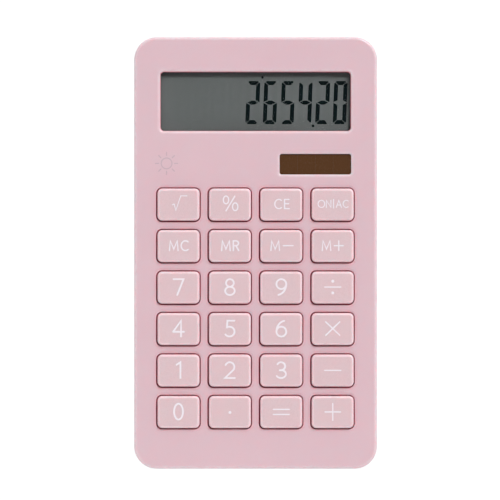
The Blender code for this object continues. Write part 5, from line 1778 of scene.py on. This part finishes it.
# %% Paint the steel pieces
def steel(name, colour, roughness, stain, lines, **constants):
    material, tree, shader = new_finish(name, Metallic=1.0, **constants)
    inputs = {"Base Colour": colour, "Roughness": roughness, "Stain": stain, "Lines per Metre": lines}
    skin = use_group(tree, drawn_metal, inputs)
    wire(tree, shader, skin, skin["Height"], 0.003 * MM)
    return material


sheet_steel = steel("sheet_steel", rgb(0.58, 0.58, 0.57), 0.32, 0.25, 9000.0)
paint(sheet_steel, *cad("display_clamp", "minus_contact", "plus_contact"))
plated_wire = steel("plated_wire", rgb(0.50, 0.50, 0.52), 0.28, 0.45, 5200.0)
for data in {screw.data for screw in screws}:
    data.materials.clear()
    data.materials.append(plated_wire)
can_steel = steel("can_steel", rgb(0.66, 0.66, 0.65), 0.18, 0.15, 3000.0)
paint(can_steel, cell_can, cell_cap)
nylon_black = plastic("nylon_black", rgb(0.015, 0.015, 0.016), 0.45)
paint(nylon_black, cell_ring)

# %% [markdown]
# ### Components and wires
# The processor lies under a drop of black epoxy, the capacitor wears a dark blue sleeve with a pale
# stripe, the diode is red resin, and the resistor's lacquer carries colour bands. The bands and the
# stripe follow the piece's own length, so a ramp along it is enough.


# %% Paint the components and wires
def banded(name, base, bands, axis, roughness=0.35):
    """Lacquer with bands; each band is (from, to, colour) along one axis of the piece, in metres."""
    material, tree, shader = new_finish(name, Coat_Weight=0.4)
    place = add_node(tree, "ShaderNodeTexCoord").outputs["Object"]
    along = add_node(tree, "ShaderNodeSeparateXYZ", {0: place}).outputs[axis]
    colour = base
    for start, end, band_colour in bands:
        after = calculate(tree, "GREATER_THAN", along, start)
        inside = calculate(tree, "MULTIPLY", after, calculate(tree, "LESS_THAN", along, end))
        colour = blend_colours(tree, inside, colour, band_colour)
    inputs = {"Base Colour": colour, "Colour Drift": 0.04, "Roughness": roughness}
    skin = use_group(tree, moulded_grain, inputs)
    wire(tree, shader, skin, skin["Height"])
    return material


epoxy_black = plastic("epoxy_black", rgb(0.012, 0.012, 0.013), 0.25, Coat_Weight=0.3)
paint(epoxy_black, *cad("processor_cap"))
led_red = plastic("led_red", rgb(0.55, 0.02, 0.015), 0.12, Coat_Weight=0.6)
paint(led_red, *cad("limiter_led"))
can_x = centre_of("storage_capacitor")[0]
STRIPE_HALF = 0.45 * MM
stripe = [(can_x - STRIPE_HALF, can_x + STRIPE_HALF, rgb(0.62, 0.65, 0.70))]
sleeve_blue = banded("sleeve_blue", rgb(0.012, 0.022, 0.07), stripe, "X")
paint(sleeve_blue, *cad("storage_capacitor"))
body_x = centre_of("resistor")[0]
BAND_HALF = 0.16 * MM
BAND_COLOURS = {  # by distance from the middle of the body
    -1.2 * MM: rgb(0.35, 0.10, 0.03),
    -0.45 * MM: rgb(0.02, 0.02, 0.02),
    0.3 * MM: rgb(0.60, 0.03, 0.02),
    1.15 * MM: rgb(0.50, 0.33, 0.06),
}
bands = [
    (body_x + shift - BAND_HALF, body_x + shift + BAND_HALF, colour)
    for shift, colour in BAND_COLOURS.items()
]
lacquer_tan = banded("lacquer_tan", rgb(0.50, 0.36, 0.20), bands, "X")
paint(lacquer_tan, *cad("resistor"))
wire_red = plastic("wire_red", rgb(0.50, 0.015, 0.015), 0.35, Coat_Weight=0.2)
paint(wire_red, *cad("battery_lead_red", "solar_lead_red"))
wire_black = plastic("wire_black", rgb(0.018, 0.018, 0.018), 0.35, Coat_Weight=0.2)
paint(wire_black, *cad("battery_lead_black", "solar_lead_black"))

# %% [markdown]
# ## Measure and finish
# The last cell prints the size of the visual model. The visual model has to stay the
# size of the frame.

# %% Measure and finish
low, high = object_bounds()
print("visual size", [round((end - start) / MM, 2) for start, end in zip(low, high)], "mm")
